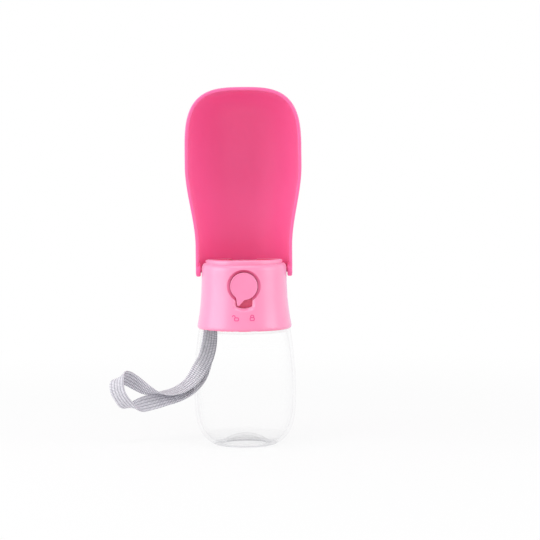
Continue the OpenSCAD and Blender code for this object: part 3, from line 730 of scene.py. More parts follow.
@dataclass
class Studio:
    """Camera, lamps and a pale floor. Lengths are in metres."""

    aim: Vector = field(default_factory=lambda: Vector((0.0192, 0.0, 0.1295)))
    distance: float = 2.2
    elevation_deg: float = 4.4
    roll_deg: float = -0.5
    lens_mm: float = 198.0
    floor_size: float = 8.0
    daylight: float = 0.62

    def camera(self) -> None:
        """Set up the camera at the photograph's viewing angle."""
        tilt = math.radians(self.elevation_deg)
        away = Vector((0, -math.cos(tilt), math.sin(tilt))) * self.distance
        data = bpy.data.cameras.new("camera")
        data.lens = self.lens_mm
        data.sensor_width = 36.0
        data.clip_start, data.clip_end = 0.01, 50.0
        made = bpy.data.objects.new("camera", data)
        look = (-away).to_track_quat("-Z", "Y").to_matrix().to_4x4()
        roll = Matrix.Rotation(math.radians(self.roll_deg), 4, "Z")
        made.matrix_world = Matrix.Translation(self.aim + away) @ look @ roll
        bpy.context.scene.collection.objects.link(made)
        bpy.context.scene.camera = made

    def softbox(self, name: str, place: Sequence[float], watts: float,
                size: Sequence[float]) -> None:
        """Hang a soft lamp that faces the object.

        Args:
            name: Name of the lamp.
            place: Its middle.
            watts: Its power.
            size: Its width and height.
        """
        data = bpy.data.lights.new(name, "AREA")
        data.shape = "RECTANGLE"
        data.size, data.size_y = size
        data.energy = watts
        lamp = bpy.data.objects.new(name, data)
        look = (self.aim - Vector(place)).to_track_quat("-Z", "Y").to_matrix().to_4x4()
        lamp.matrix_world = Matrix.Translation(place) @ look
        bpy.context.scene.collection.objects.link(lamp)

    def lamps(self) -> None:
        """Hang the softboxes of a plain product studio."""
        self.softbox("softbox_left", (-1.0, -0.32, 0.35), 7.0, (1.0, 0.9))
        self.softbox("softbox_right", (1.0, -0.35, 0.35), 3.6, (0.6, 0.9))
        self.softbox("softbox_top", (0.0, -0.35, 1.15), 3.2, (0.9, 0.6))

    def world(self) -> None:
        """Light the scene evenly, and show white to the camera, gloss and clear plastic."""
        world = bpy.data.worlds.new("studio")
        world.use_nodes = True
        bpy.context.scene.world = world
        tree = world.node_tree
        tree.nodes.clear()
        shown = self.shown(tree)
        plain, white = (add_node(tree, "ShaderNodeBackground", {
            "Color": linear("#FFFFFF"), "Strength": strength}) for strength in (self.daylight, 1.0))
        mix = add_node(tree, "ShaderNodeMixShader", {
            0: shown, 1: plain.outputs[0], 2: white.outputs[0]})
        add_node(tree, "ShaderNodeOutputWorld", {"Surface": mix.outputs[0]})

    def shown(self, tree: Tree) -> Socket:
        """Return 1 for rays that show the background: of camera, gloss and transmission.

        Args:
            tree: Node tree that the nodes join.

        Returns:
            An output of 1 or 0.
        """
        path = add_node(tree, "ShaderNodeLightPath")
        mirror = add_node(tree, "ShaderNodeMath", {
            0: path.outputs["Is Camera Ray"], 1: path.outputs["Is Glossy Ray"]}, operation="ADD")
        return add_node(tree, "ShaderNodeMath", {
            0: mirror.outputs[0], 1: path.outputs["Is Transmission Ray"]},
            operation="ADD", use_clamp=True).outputs[0]

    def floor(self) -> None:
        """Lay the floor: pale, matt board that keeps the object's shadow."""
        board = bpy.data.materials.new("board_matt_white")
        board.use_nodes = True
        tree = board.node_tree
        tree.nodes.clear()
        place = add_node(tree, "ShaderNodeTexCoord").outputs["Object"]
        fibre = add_node(tree, "ShaderNodeTexNoise", {
            "Vector": place, "Scale": 1 / (3 * MM), "Detail": 4.0})
        relief = add_node(tree, "ShaderNodeBump", {
            "Strength": 0.1, "Distance": 0.02 * MM, "Height": fibre.outputs["Fac"]})
        matt = add_node(tree, "ShaderNodeBsdfPrincipled", {
            "Base Color": linear("#F4F4F5"), "Roughness": 0.9, "Specular IOR Level": 0.0,
            "Normal": relief.outputs["Normal"]})
        glow = add_node(tree, "ShaderNodeEmission", {"Color": linear("#FFFFFF"), "Strength": 1.0})
        away = add_node(tree, "ShaderNodeVectorMath", {0: place}, operation="LENGTH")
        # The lit board near the object keeps its shadow, and turns plain white away from it
        fade = add_node(tree, "ShaderNodeMapRange", {
            "Value": away.outputs["Value"], "From Min": 0.12, "From Max": 0.7,
            "To Min": 0.8, "To Max": 1.0}, interpolation_type="SMOOTHSTEP")
        share = add_node(tree, "ShaderNodeMath", {
            0: self.shown(tree), 1: fade.outputs["Result"]}, operation="MULTIPLY")
        mix = add_node(tree, "ShaderNodeMixShader", {
            0: share.outputs[0], 1: matt.outputs[0], 2: glow.outputs[0]})
        add_node(tree, "ShaderNodeOutputMaterial", {"Surface": mix.outputs[0]})
        bm = bmesh.new()
        bmesh.ops.create_grid(bm, x_segments=2, y_segments=2, size=self.floor_size / 2)
        made = as_object(bm, "floor")
        made.data.materials.append(board)

    def build(self) -> None:
        """Set up the studio."""
        self.lamps()
        self.world()
        self.floor()
        bpy.context.scene.view_settings.view_transform = "Standard"


# ---------------------------------------------------------------------------- head's outline


@dataclass
class HeadOutline:
    """Sizes and side line of the head, in mm."""

    bottom_z: float = 87.0
    top_z: float = 135.2
    top_r: float = 31.4
    bottom_r: float = 34.9
    wall: float = 2.0
    foot: float = 1.8
    foot_draw: float = 0.7
    flare_end: float = 2.2
    flare: float = 2.6
    round_w: float = 2.7
    round_h: float = 4.6
    opening_r: float = 26.8
    pivot_z: float = 130.0
    bar_z: float = 93.0
    bar_inset: float = 2.9
    strap_turn_deg: float = 45.0

    def radius(self, z: float) -> float:
        """Return the outer radius at a height.

        Args:
            z: The height.

        Returns:
            The radius.
        """
        rise = self.top_z - self.bottom_z - self.flare_end - self.foot
        u = (z - self.bottom_z - self.foot) / rise
        return self.top_r + (self.bottom_r - self.top_r) * max(0.0, 1 - u) ** self.flare

    def side(self, inset: float, z0: float, z1: float, steps: int) -> Outline:
        """Return points of the side line, drawn in by inset."""
        heights = [z0 + (z1 - z0) * i / steps for i in range(steps + 1)]
        return [(self.radius(z) - inset, z) for z in heights]

    def bar_r(self) -> float:
        """Return the distance of the strap's bar from the axis."""
        return self.radius(self.bar_z) - self.wall - self.bar_inset

    def foot_line(self, steps: int = 6) -> Outline:
        """Return points of the rounded lower edge."""
        return [(self.bottom_r - self.foot_draw * (1 - t) ** 2, self.bottom_z + self.foot * t)
                for t in (i / steps for i in range(steps))]

    def outer(self) -> Outline:
        """Return the whole outer line, from the lower edge to the lip.

        Returns:
            The points.
        """
        edge_z = self.top_z - self.round_h
        turn = [(self.top_r - self.round_w + self.round_w * math.cos(a),
                 edge_z + self.round_h * math.sin(a))
                for a in (math.pi / 2 * i / 12 for i in range(1, 13))]
        return self.foot_line() + self.side(0, self.bottom_z + self.foot, edge_z, 26) + turn


OUTLINE = HeadOutline()


# ---------------------------------------------------------------------------- strap


@dataclass
class WristStrap:
    """Wrist strap of ribbed webbing, one closed loop through the slot in the head."""

    width: float = 12.0
    thickness: float = 1.1
    angle_deg: float = 135.0
    steps: int = 8
    face_steps: int = 30
    ribs: int = 7
    rib_depth: float = 0.13
    # Middle of the webbing in the open, then its width's azimuth and elevation in degrees
    open_route: tuple = (
        (-26, 27.5, 75.5, 34, -2), (-27.5, 29, 68, 20, -3), (-29.6, 29.6, 61.5, 12, -8),
        (-33, 29.5, 55, 4, -13), (-38.3, 27.5, 47, -25, -12), (-44, 24, 41.5, -42, -16),
        (-50.5, 20.3, 38.2, -51, -15), (-57, 16.8, 36.8, -62, -12), (-62.4, 14.6, 36.7, -75, -2),
        (-67.8, 13.2, 37.6, -82, 20), (-74.8, 12.5, 40.2, -75, 50), (-81.4, 12.8, 44.4, -68, 68),
        (-87.6, 12.4, 48.2, -50, 66), (-92.6, 9, 50, -26, 38), (-95.4, 5, 46.8, -20, 20),
        (-95.2, 3, 41, -22, 16), (-93, 2.6, 35.6, -30, 26), (-89.6, 4.2, 30.4, -34, 30),
        (-85, 8, 27, -34, 0), (-79.6, 11.6, 27.8, -50, -44), (-74, 13.6, 29.2, -60, -68),
        (-68, 15.2, 30.4, -64, -64), (-61, 17.2, 31.6, -62, -46), (-54, 19.6, 32.6, -57, -32),
        (-47.6, 22.4, 34.6, -50, -24), (-41.6, 25.6, 38.2, -40, -18), (-37, 28.6, 43.4, -24, -12),
        (-33.6, 30.8, 50, 0, -12), (-31, 31.7, 57.5, 14, -8), (-28.8, 31.4, 66, 26, -4),
        (-27.4, 29.9, 75, 38, -2))

    def at_slot(self, r: float, z: float) -> tuple[float, ...]:
        """Return a station in the slot's plane, by its distance from the axis and height."""
        a = math.radians(self.angle_deg)
        return r * math.cos(a), r * math.sin(a), z, self.angle_deg - 90, 0.0

    def at_bar(self, dr: float, dz: float) -> tuple[float, ...]:
        """Return a station by its place from the bar's middle."""
        return self.at_slot(OUTLINE.bar_r() + dr, OUTLINE.bar_z + dz)

    def route(self) -> list[tuple[float, ...]]:
        """Return the stations of the whole loop.

        Returns:
            Place, azimuth and elevation of each station.
        """
        start = [self.at_bar(0, 1.9), self.at_bar(-1.4, 1.4), self.at_bar(-1.9, 0),
                 self.at_bar(-1.5, -2.5)]
        start += [self.at_slot(*p) for p in (
            (29.4, 88.6), (32, 88), (34.1, 87.6), (35.5, 86), (35.9, 83))]
        end = [self.at_slot(*p) for p in ((37.7, 83.2), (37.2, 87), (35.2, 89.2), (32.7, 89.8))]
        end += [self.at_bar(1.8, -1.8), self.at_bar(1.65, 0), self.at_bar(1.3, 1.3)]
        return start + list(self.open_route) + end

    def line(self) -> list[list[float]]:
        """Return the loop's smooth line, several points for each station.

        Returns:
            Points in the form of the stations.
        """
        stations = self.route()
        n = len(stations)
        points = []
        for i in range(n):
            a, b, c, d = (stations[(i + k) % n] for k in (-1, 0, 1, 2))
            for k in range(self.steps):
                t = k / self.steps
                points.append([
                    (2 * q + (r - p) * t + (2 * p - 5 * q + 4 * r - s) * t * t
                     + (3 * q - p - 3 * r + s) * t ** 3) / 2
                    for p, q, r, s in zip(a, b, c, d)])
        return points

    def section(self) -> Outline:
        """Return the webbing's section: ribbed faces and round selvedges.

        Returns:
            The points.
        """
        half, edge = self.width / 2, self.thickness / 2
        flat = half - edge
        face = []
        for i in range(self.face_steps + 1):
            s = -1 + 2 * i / self.face_steps
            rib = abs(math.cos(math.pi * self.ribs * (s + 1) / 2)) ** 0.7
            face.append((s * flat, edge - self.rib_depth * (1 - rib)))
        turn = arc(flat, 0, edge, 67.5, -67.5, 6)
        return (face + turn + [(x, -y) for x, y in reversed(face)]
                + [(-x, -y) for x, y in turn])

    def frames(self) -> list[tuple[Vector, Vector, Vector]]:
        """Return place, width and thickness directions of each ring.

        Returns:
            Three vectors for each ring.
        """
        line = self.line()
        n = len(line)
        rings = []
        for i, point in enumerate(line):
            along = (Vector(line[(i + 1) % n][:3]) - Vector(line[i - 1][:3])).normalized()
            az, el = math.radians(point[3]), math.radians(point[4])
            flat = math.cos(el)
            across = Vector((flat * math.cos(az), flat * math.sin(az), math.sin(el)))
            up = across.cross(along).normalized()
            rings.append((Vector(point[:3]), along.cross(up), up))
        return rings

    def length(self) -> float:
        """Return the loop's length in mm."""
        line = [Vector(p[:3]) for p in self.line()]
        return sum((a - b).length for a, b in zip(line, line[1:] + line[:1]))

    def build(self) -> None:
        """Make the strap from a grid that is wrapped round the webbing's line."""
        section, rings = self.section(), self.frames()
        n, m = len(section), len(rings)
        bm = bmesh.new()
        bm.loops.layers.uv.new("UVMap")
        bmesh.ops.create_grid(bm, x_segments=n, y_segments=m, size=0.5, calc_uvs=True)
        for vert in bm.verts:
            place, wide, up = rings[round((vert.co.y + 0.5) * m) % m]
            x, y = section[round((vert.co.x + 0.5) * n) % n]
            vert.co = (place + wide * x + up * y) * MM
        bmesh.ops.remove_doubles(bm, verts=bm.verts, dist=0.002 * MM)
        bmesh.ops.recalc_face_normals(bm, faces=bm.faces)
        strap = piece(bm, "wrist_strap_webbing", STRAP_WEBBING, "head",
                      ("wrist_strap",), smooth_deg=60)
        self.length() * MM
        LOG.info("strap: %.1f mm long", self.length())


# ---------------------------------------------------------------------------- bottle


@dataclass
class Bottle:
    """Clear bottle with a domed underside, a waisted side and a plain neck. Sizes in mm."""

    radius: float = 37.9
    top_r: float = 34.2
    belly_z: float = 46.0
    shoulder_z: float = 86.6
    shoulder_round: float = 1.2
    wall: float = 2.0
    neck_r: float = 22.5
    neck_top: float = 97.2
    neck_wall: float = 2.2
    neck_fillet: float = 0.6
    lip_edge: float = 0.4
    dome_r: float = 26.81
    dome_h: float = 6.5
    belly_power: float = 3.5
    waist_power: float = 1.55
    steps: int = 180

    def underside(self, inset: float, steps: int = 16) -> Outline:
        """Return points of the domed underside, from the axis out.

        Args:
            inset: Distance inside the outer wall.
            steps: Pieces of the line.

        Returns:
            The points.
        """
        r = self.dome_r + inset
        foot = math.sqrt(self.dome_h * (2 * r - self.dome_h))
        radii = [foot * i / steps for i in range(steps + 1)]
        return [(x, math.sqrt(r * r - x * x) - self.dome_r + self.dome_h) for x in radii]

    def belly(self, inset: float, steps: int = 34) -> Outline:
        """Return points of the round foot, from the ring that it stands on to the belly.

        Args:
            inset: Distance inside the outer wall.
            steps: Pieces of the line.

        Returns:
            The points.
        """
        drop = self.belly_z + 2
        end = math.asin(((self.belly_z - inset) / (drop - inset)) ** (self.belly_power / 2))
        points = []
        for i in range(steps + 1):
            a = end * (1 - i / steps)
            points.append(((self.radius - inset) * math.cos(a) ** (2 / self.belly_power),
                           self.belly_z - (drop - inset) * math.sin(a) ** (2 / self.belly_power)))
        return points

    def waist(self, inset: float, steps: int = 24) -> Outline:
        """Return points of the side above the belly.

        Args:
            inset: Distance inside the outer wall.
            steps: Pieces of the line.

        Returns:
            The points.
        """
        top = self.shoulder_z - self.shoulder_round - inset
        points = []
        for i in range(1, steps + 1):
            u = i / steps
            points.append((self.radius - inset - (self.radius - self.top_r) * u ** self.waist_power,
                           self.belly_z + (top - self.belly_z) * u))
        return points

    def skin(self, inset: float, neck_r: float) -> Outline:
        """Return the line from the axis, round the foot and up the neck.

        Args:
            inset: Distance inside the outer wall.
            neck_r: Radius of the neck.

        Returns:
            The points.
        """
        c, fillet = self.shoulder_round, self.neck_fillet
        return (self.underside(inset) + self.belly(inset)[1:] + self.waist(inset)
                + arc(self.top_r - c - inset, self.shoulder_z - c - inset, c, 11.25, 90, 7)
                + arc(neck_r + fillet, self.shoulder_z - inset + fillet, fillet, 270, 180, 4)
                + [(neck_r, self.neck_top - self.lip_edge)])

    def build(self) -> None:
        """Make the bottle's wall and dress it."""
        outer = self.skin(0, self.neck_r)
        inner = self.skin(self.wall, self.neck_r - self.neck_wall)
        lip = [(self.neck_r - self.lip_edge, self.neck_top),
               (self.neck_r - self.neck_wall + self.lip_edge, self.neck_top)]
        bm = spun(outer + lip + inner[::-1], self.steps)
        piece(bm, "bottle_clear", BOTTLE_PLASTIC, "bottle", ("bottle",),
              smooth_deg=50)


# ---------------------------------------------------------------------------- head


@dataclass
class HeadShell:
    """Head with the button's well, a groove round it and the slot of its pointer."""

    button_z: float = 120.0
    floor_y: float = -25.2
    well_wall: float = 1.6
    well_r: float = 10.2
    mouth_r: float = 12.2
    mouth_y: float = -28.5
    groove_end_y: float = -27.5
    slot_half: float = 6.15
    slot_reach: float = 16.3
    slot_mouth_y: float = -29.9
    slot_corner_r: float = 1.8
    cup_corner_r: float = 2.6
    lip_slope: float = 0.75
    side_slope: float = 1.5
    hub_hole_r: float = 5.4
    hub_wall: float = 3.0
    front_past: float = 60.0
    flare_past: float = 5.0
    mouth_bevel: float = 0.2
    mouth_room: float = 0.42
    pin_hole_r: float = 1.55
    pin_hole_x: tuple = (26.8, 34.0)
    boss_r: float = 3.6
    boss_x: tuple = (26.9, 31.0)
    lug_size: tuple = (2.3, 6.0, 3.6)
    lug_x: float = 7.85
    lug_out: float = 1.2
    bar_hole_r: float = 1.05
    bar_hole_half: float = 8.5
    strap_half: float = 6.7
    strap_slot_h: float = 3.9
    strap_slot_past: float = 4.0
    strap_slot_deep: float = 10.0
    steps: int = 120

    def keyhole(self, r: float, half: float, reach: float, steps: int = 72) -> Outline:
        """Return the outline of the round well and the slot below it.

        Args:
            r: Radius of the round part.
            half: Half of the slot's width.
            reach: Distance of the slot's end from the middle.
            steps: Points round the round part.

        Returns:
            Points that start and end at the slot's end, which holds the last eight.
        """
        start = math.degrees(math.asin(half / r))
        ring = arc(0, self.button_z, r, -90 + start, 270 - start, steps)
        foot = math.degrees(math.asin(half / reach))
        return ring + arc(0, self.button_z, reach, 270 - foot, 270 + foot, 8)

    def slot_space(self) -> Mesh:
        """Return the space of the pointer's slot, which opens out towards its mouth.

        Returns:
            A closed mesh.
        """
        half, reach, z = self.slot_half, self.slot_reach, self.button_z
        foot = math.degrees(math.asin(half / reach))
        outline = [(half, z - 4), (-half, z - 4)] + arc(0, z, reach, 270 - foot, 270 + foot, 8)
        bm = prism(outline, self.floor_y, self.slot_mouth_y, (2, len(outline) - 1),
                   self.slot_corner_r)
        front = [f for f in bm.faces
                 if all(abs(v.co.y / MM - self.slot_mouth_y) < 0.01 for v in f.verts)]
        far = grown(bm, front)
        bmesh.ops.delete(bm, geom=front, context="FACES_ONLY")
        deep = self.flare_past
        bmesh.ops.translate(bm, verts=far, vec=(0, -deep * MM, 0))
        bmesh.ops.scale(bm, verts=far, vec=(1 + self.side_slope * deep / half, 1,
                                           1 + self.lip_slope * deep / reach),
                        space=Matrix.Translation((0, 0, -z * MM)))
        bmesh.ops.recalc_face_normals(bm, faces=bm.faces)
        return bm

    def groove_space(self) -> Mesh:
        """Return the space of the round well, the groove at its mouth and the hub's hole.

        Returns:
            A closed mesh.
        """
        back = self.floor_y + self.hub_wall
        bm = spun([(0, -self.front_past), (self.mouth_r, -self.front_past),
                   (self.mouth_r, self.mouth_y), (self.well_r, self.groove_end_y),
                   (self.well_r, self.floor_y), (self.hub_hole_r, self.floor_y),
                   (self.hub_hole_r, back), (0, back)], self.steps)
        swivel(bm, -math.pi / 2, "X")
        bmesh.ops.translate(bm, verts=bm.verts, vec=(0, 0, self.button_z * MM))
        return bm

    def skin(self) -> Mesh:
        """Return the round shell: outer side, lip and inner side.

        Returns:
            A closed mesh.
        """
        o = OUTLINE
        lip = [(o.opening_r + 0.3, o.top_z), (o.opening_r, o.top_z - 0.3),
               (o.opening_r, o.top_z - o.wall)]
        inner = o.side(o.wall, o.bottom_z + o.foot, o.top_z - o.wall, 24)[::-1]
        foot = [(o.bottom_r - o.wall, o.bottom_z)]
        return spun(o.outer() + lip + inner + foot, self.steps, closed=True)

    def core(self) -> Mesh:
        """Return the space inside the middle of the wall.

        Returns:
            A closed mesh.
        """
        o = OUTLINE
        side = o.side(o.wall / 2, o.bottom_z + 1, o.top_z - 1.1, 24)
        return spun([(0, o.bottom_z + 1)] + side + [(0, o.top_z - 1.1)], self.steps)

    def cup(self) -> Mesh:
        """Return the solid that holds the well, inside the shell.

        Returns:
            A closed mesh.
        """
        w = self.well_wall
        outline = self.keyhole(self.well_r + w, self.slot_half + w, self.slot_reach + w)
        well = prism(outline, -self.front_past, self.floor_y + w,
                     (len(outline) - 9, len(outline) - 1), self.cup_corner_r)
        mouth = rod(self.mouth_r + w, self.mouth_r + w, (0, -self.front_past, self.button_z),
                    (0, self.groove_end_y, self.button_z), 96)
        return common(joined(well, mouth), self.core())

    def pair(self, r: float, span: tuple[float, float], sides: int) -> list[Mesh]:
        """Return two rods on the hinge's axis, one at each side of the head.

        Args:
            r: Their radius.
            span: Distances of their ends from the middle.
            sides: Faces round each rod.

        Returns:
            The left rod and the right one.
        """
        z = OUTLINE.pivot_z
        ends = (sorted(side.value * x for x in span) for side in Side)
        return [rod(r, r, (x0, 0, z), (x1, 0, z), sides) for x0, x1 in ends]

    def bosses(self) -> Mesh:
        """Return the bosses of the hinge pins and the lugs of the strap's bar.

        Returns:
            A closed mesh.
        """
        made = joined(*self.pair(self.boss_r, self.boss_x, 48))
        for side in Side:
            lug = box(self.lug_size, (
                side.value * self.lug_x, OUTLINE.bar_r() + self.lug_out, OUTLINE.bar_z))
            swivel(lug, math.radians(OUTLINE.strap_turn_deg), "Z")
            made = joined(made, lug)
        return common(made, self.core())

    def strap_tools(self) -> list[Mesh]:
        """Return the spaces of the strap's slot and of its bar.

        Returns:
            The slot's space and the bar's.
        """
        bar_r, bar_z, past = OUTLINE.bar_r(), OUTLINE.bar_z, self.strap_slot_past
        height = self.strap_slot_h + past
        slot = box((2 * self.strap_half, self.strap_slot_deep, height),
                   (0, bar_r + past, OUTLINE.bottom_z + self.strap_slot_h - height / 2))
        bar = rod(self.bar_hole_r, self.bar_hole_r, (-self.bar_hole_half, bar_r, bar_z),
                  (self.bar_hole_half, bar_r, bar_z), 32)
        for tool in (slot, bar):
            swivel(tool, math.radians(OUTLINE.strap_turn_deg), "Z")
        return [slot, bar]

    def tools(self) -> list[Mesh]:
        """Return the spaces that are cut from the head."""
        return [self.groove_space(), self.slot_space(),
                *self.pair(self.pin_hole_r, self.pin_hole_x, 32), *self.strap_tools()]

    def at_mouth(self, p: Vector) -> bool:
        """Tell whether a point, in mm, lies on the edge between the well and the outer side."""
        return (p.y < -20 and math.hypot(p.x, p.z - self.button_z) < 24 and p.z < 134
                and abs(math.hypot(p.x, p.y) - OUTLINE.radius(p.z)) < 0.08)

    def build(self) -> None:
        """Make the head and dress it."""
        bm = joined(self.skin(), self.cup(), self.bosses())
        bm = cut(bm, *self.tools())
        soften(bm, self.mouth_bevel, 3, 18, self.at_mouth, room=self.mouth_room)
        piece(bm, "head_housing", HEAD_PLASTIC, "head", ("head_shell",),
              smooth_deg=38)


@dataclass
class LockMarks:
    """The two padlock marks below the button, moulded 0.12 mm proud of the head, in painted-shade
    pink.
    """

    proud: float = 0.12
    sunk: float = 0.4
    line: float = 0.72
    body_w: float = 3.7
    body_h: float = 2.9
    corner_r: float = 1.05

    def body(self, x: float, z: float) -> Mesh:
        """Return a padlock's body: a rounded ring with a keyhole dot.

        Args:
            x: Its middle.
            z: Its middle's height.

        Returns:
            A flat mesh.
        """
        w, h = self.body_w / 2, self.body_h / 2
        bm = bmesh.new()
        corners = [(-w, -h), (w, -h), (w, h), (-w, h)]
        bm.faces.new([bm.verts.new(((x + a) * MM, 0, (z + b) * MM)) for a, b in corners])
        bmesh.ops.bevel(bm, geom=bm.verts[:], offset=self.corner_r * MM, offset_type="OFFSET",
                        segments=4, profile=0.5, affect="VERTICES", clamp_overlap=True, material=-1)
        core = bm.faces[:]
        bmesh.ops.inset_individual(bm, faces=core, thickness=self.line * MM, depth=0,
                                   use_even_offset=True)
        bmesh.ops.delete(bm, geom=core, context="FACES")
        return bm

    def shackle(self, x: float, z: float, r: float, from_deg: float, to_deg: float,
                leg: float) -> Mesh:
        """Return a shackle: a bent band with a straight leg at its first end.

        Args:
            x: Middle of the bend.
            z: Height of the bend's middle.
            r: Outer radius.
            from_deg: Where the bend starts.
            to_deg: Where it ends.
            leg: Length of the straight legs below it.

        Returns:
            A flat mesh.
        """
        bm = bmesh.new()
        a = math.radians(from_deg)
        ends = [bm.verts.new(((x + q * math.cos(a)) * MM, 0, (z + q * math.sin(a)) * MM))
                for q in (r - self.line, r)]
        edge = bm.edges.new(ends)
        bmesh.ops.spin(bm, geom=ends + [edge], cent=(x * MM, 0, z * MM), axis=(0, -1, 0),
                       dvec=(0, 0, 0), angle=math.radians(to_deg - from_deg), steps=14,
                       use_merge=False, use_duplicate=False)
        if leg:
            tips = [e for e in bm.edges if e.is_boundary and len(set(
                f for v in e.verts for f in v.link_faces)) == 1]
            for tip in tips:
                longer = bmesh.ops.extrude_edge_only(bm, edges=[tip])["geom"]
                moved = [v for v in longer if isinstance(v, bmesh.types.BMVert)]
                bmesh.ops.translate(bm, verts=moved, vec=(0, 0, -leg * MM))
        return in_order(bm)

    def raised(self, bm: Mesh, lower: float = 0.0) -> Mesh:
        """Give a flat mark its thickness and lay it on the head's curved face.

        Args:
            bm: The flat mark.
            lower: How much less proud it is, in mm, than the other part of its padlock.

        Returns:
            The same mesh, closed.
        """
        front = set(grown(bm, bm.faces[:]))
        for vert in bm.verts:
            rise = self.proud if vert in front else -self.sunk
            r = OUTLINE.radius(vert.co.z / MM) - lower + rise
            vert.co.y = -math.sqrt((r * MM) ** 2 - vert.co.x ** 2)
        bmesh.ops.recalc_face_normals(bm, faces=bm.faces)
        return bm

    def build(self) -> None:
        """Make both marks and dress them."""
        closed = joined(self.raised(self.body(5.9, 96.2)),
                        self.raised(self.shackle(5.9, 97.9, 1.5, 0, 180, 0.9), 0.03))
        piece(closed, "padlock_closed_mark", SHADE_PAINTED_MARK_PLASTIC, "head")
        opened = joined(self.raised(self.body(-5.6, 96.1)),
                        self.raised(self.shackle(-7.6, 97.8, 1.35, -20, 185, 0), 0.03))
        piece(opened, "padlock_open_mark", SHADE_PAINTED_MARK_PLASTIC, "head")


@dataclass
class SpoutRim:
    """Ring that stands on the head round the basin, open at the back, with its deck."""

    outer_r: float = 28.5
    width: float = 3.3
    base_z: float = 135.12
    top_z: float = 138.8
    deck_top: float = 134.0
    deck_z: float = 132.2
    plug_r: float = 26.75
    half_gap_deg: float = 20.6
    gap_h: float = 6.0
    fall: float = 2.5
    outlet_y: float = 7.5
    outlet_r: float = 4.05
    outlet_z: tuple = (130.0, 136.0)
    steps: int = 92

    def outline(self) -> Outline:
        """Return the section of rim and deck, from the axis out and back.

        Returns:
            The points.
        """
        c = 1.5
        inner = self.outer_r - self.width
        return ([(0, self.deck_z), (self.plug_r, self.deck_z), (self.plug_r, self.base_z),
                 (self.outer_r - 0.25, self.base_z), (self.outer_r, self.base_z + 0.25)]
                + arc(self.outer_r - c, self.top_z - c, c, 0, 90, 8)
                + arc(inner + c, self.top_z - c, c, 90, 180, 8)
                + arc(inner - 0.8, self.deck_top + 0.8, 0.8, 0, -90, 5) + [(0, self.deck_top)])

    def build(self) -> None:
        """Make rim and deck and dress them."""
        bm = spun(self.outline(), self.steps)
        for vert in bm.verts:
            share = max(0.0, (vert.co.z / MM - self.base_z) / (self.top_z - self.base_z))
            vert.co.z -= share * self.fall * (0.5 + vert.co.y / MM / (2 * self.outer_r)) * MM
        reach = 2 * self.outer_r
        a = math.radians(self.half_gap_deg)
        across, back = reach * math.sin(a), reach * math.cos(a)
        wedge = bmesh.new()
        wedge.faces.new([wedge.verts.new((x * MM, y * MM, self.base_z * MM))
                         for x, y in ((0, 0), (across, back), (-across, back))])
        bmesh.ops.translate(wedge, verts=grown(wedge, wedge.faces[:]),
                            vec=(0, 0, self.gap_h * MM))
        bmesh.ops.recalc_face_normals(wedge, faces=wedge.faces)
        outlet = rod(self.outlet_r, self.outlet_r, (0, self.outlet_y, self.outlet_z[0]),
                     (0, self.outlet_y, self.outlet_z[1]))
        bm = cut(bm, wedge, outlet)
        soften(bm, 1.0, 5, 40, lambda p: p.y > 20 and p.z > self.base_z + 0.2, room=0.4)
        piece(bm, "spout_rim", RIM_PLASTIC, "head", ("rim_deck",), smooth_deg=38)


@dataclass
class Button:
    """Thumb button with its lock pointer, and the hub that takes the stem."""

    middle_z: float = 120.0
    front_y: float = -30.95
    plate: float = 2.7
    radius: float = 10.0
    reach: float = 15.0
    tip_r: float = 1.1
    waist_r: float = 1.6
    half_deg: float = 18.5
    turn_deg: float = 17.0
    edge: float = 0.45
    bead: float = 0.55
    dish: float = 0.2
    hub_r: float = 5.0
    hub_end_y: float = -22.05
    stem_r: float = 3.25

    def outline(self) -> Outline:
        """Return the plate's outline, with the pointer straight down.

        Returns:
            The points.
        """
        a, tip = math.radians(self.half_deg), self.reach - self.tip_r
        lean = math.degrees(math.atan2(self.radius * math.sin(a) - self.tip_r,
                                       tip - self.radius * math.cos(a)))
        ring = arc(0, 0, self.radius, -90 + self.half_deg, 270 - self.half_deg, 88)
        return ring + arc(0, -tip, self.tip_r, 180 + lean, 360 - lean, 8)

    def turned(self, point: tuple[float, float]) -> tuple[float, float]:
        """Turn a point of the outline to the open mark and lift it to its height.

        Args:
            point: The point.

        Returns:
            The turned point.
        """
        x, z = point
        c, s = math.cos(-math.radians(self.turn_deg)), math.sin(-math.radians(self.turn_deg))
        return x * c - z * s, x * s + z * c + self.middle_z

    def build(self) -> None:
        """Make the button and dress it."""
        outline = [self.turned(p) for p in self.outline()]
        plate = prism(outline, self.front_y + self.plate, self.front_y, (0, 88), self.waist_r)
        face = [f for f in plate.faces if f.normal.y < -0.9]
        bmesh.ops.inset_region(plate, faces=face, thickness=self.bead * MM, use_even_offset=True)
        bmesh.ops.inset_region(plate, faces=face, thickness=self.dish * MM, depth=-self.dish * MM,
                               use_even_offset=True)
        soften(plate, self.edge, 3, 60, lambda p: p.y < self.front_y + 0.1)
        hub = rod(self.hub_r, self.hub_r, (0, self.front_y + self.plate - 0.5, self.middle_z),
                  (0, self.hub_end_y, self.middle_z), 64)
        bore = rod(self.stem_r, self.stem_r, (0, self.front_y + 1.2, self.middle_z),
                   (0, self.hub_end_y + 0.5, self.middle_z))
        bm = cut(joined(plate, hub), bore)
        piece(bm, "thumb_button", BUTTON_PLASTIC, "button", ("push_button",),
              smooth_deg=34)


# ---------------------------------------------------------------------------- trough


def on_hinge(side: Side, r0: float, r1: float, x0: float, x1: float, sides: int = 48) -> Mesh:
    """Make a rod or cone on the hinge's axis, between two distances from the middle."""
    x, z = side.value, OUTLINE.pivot_z
    return rod(r0, r1, (x * x0, 0, z), (x * x1, 0, z), sides)


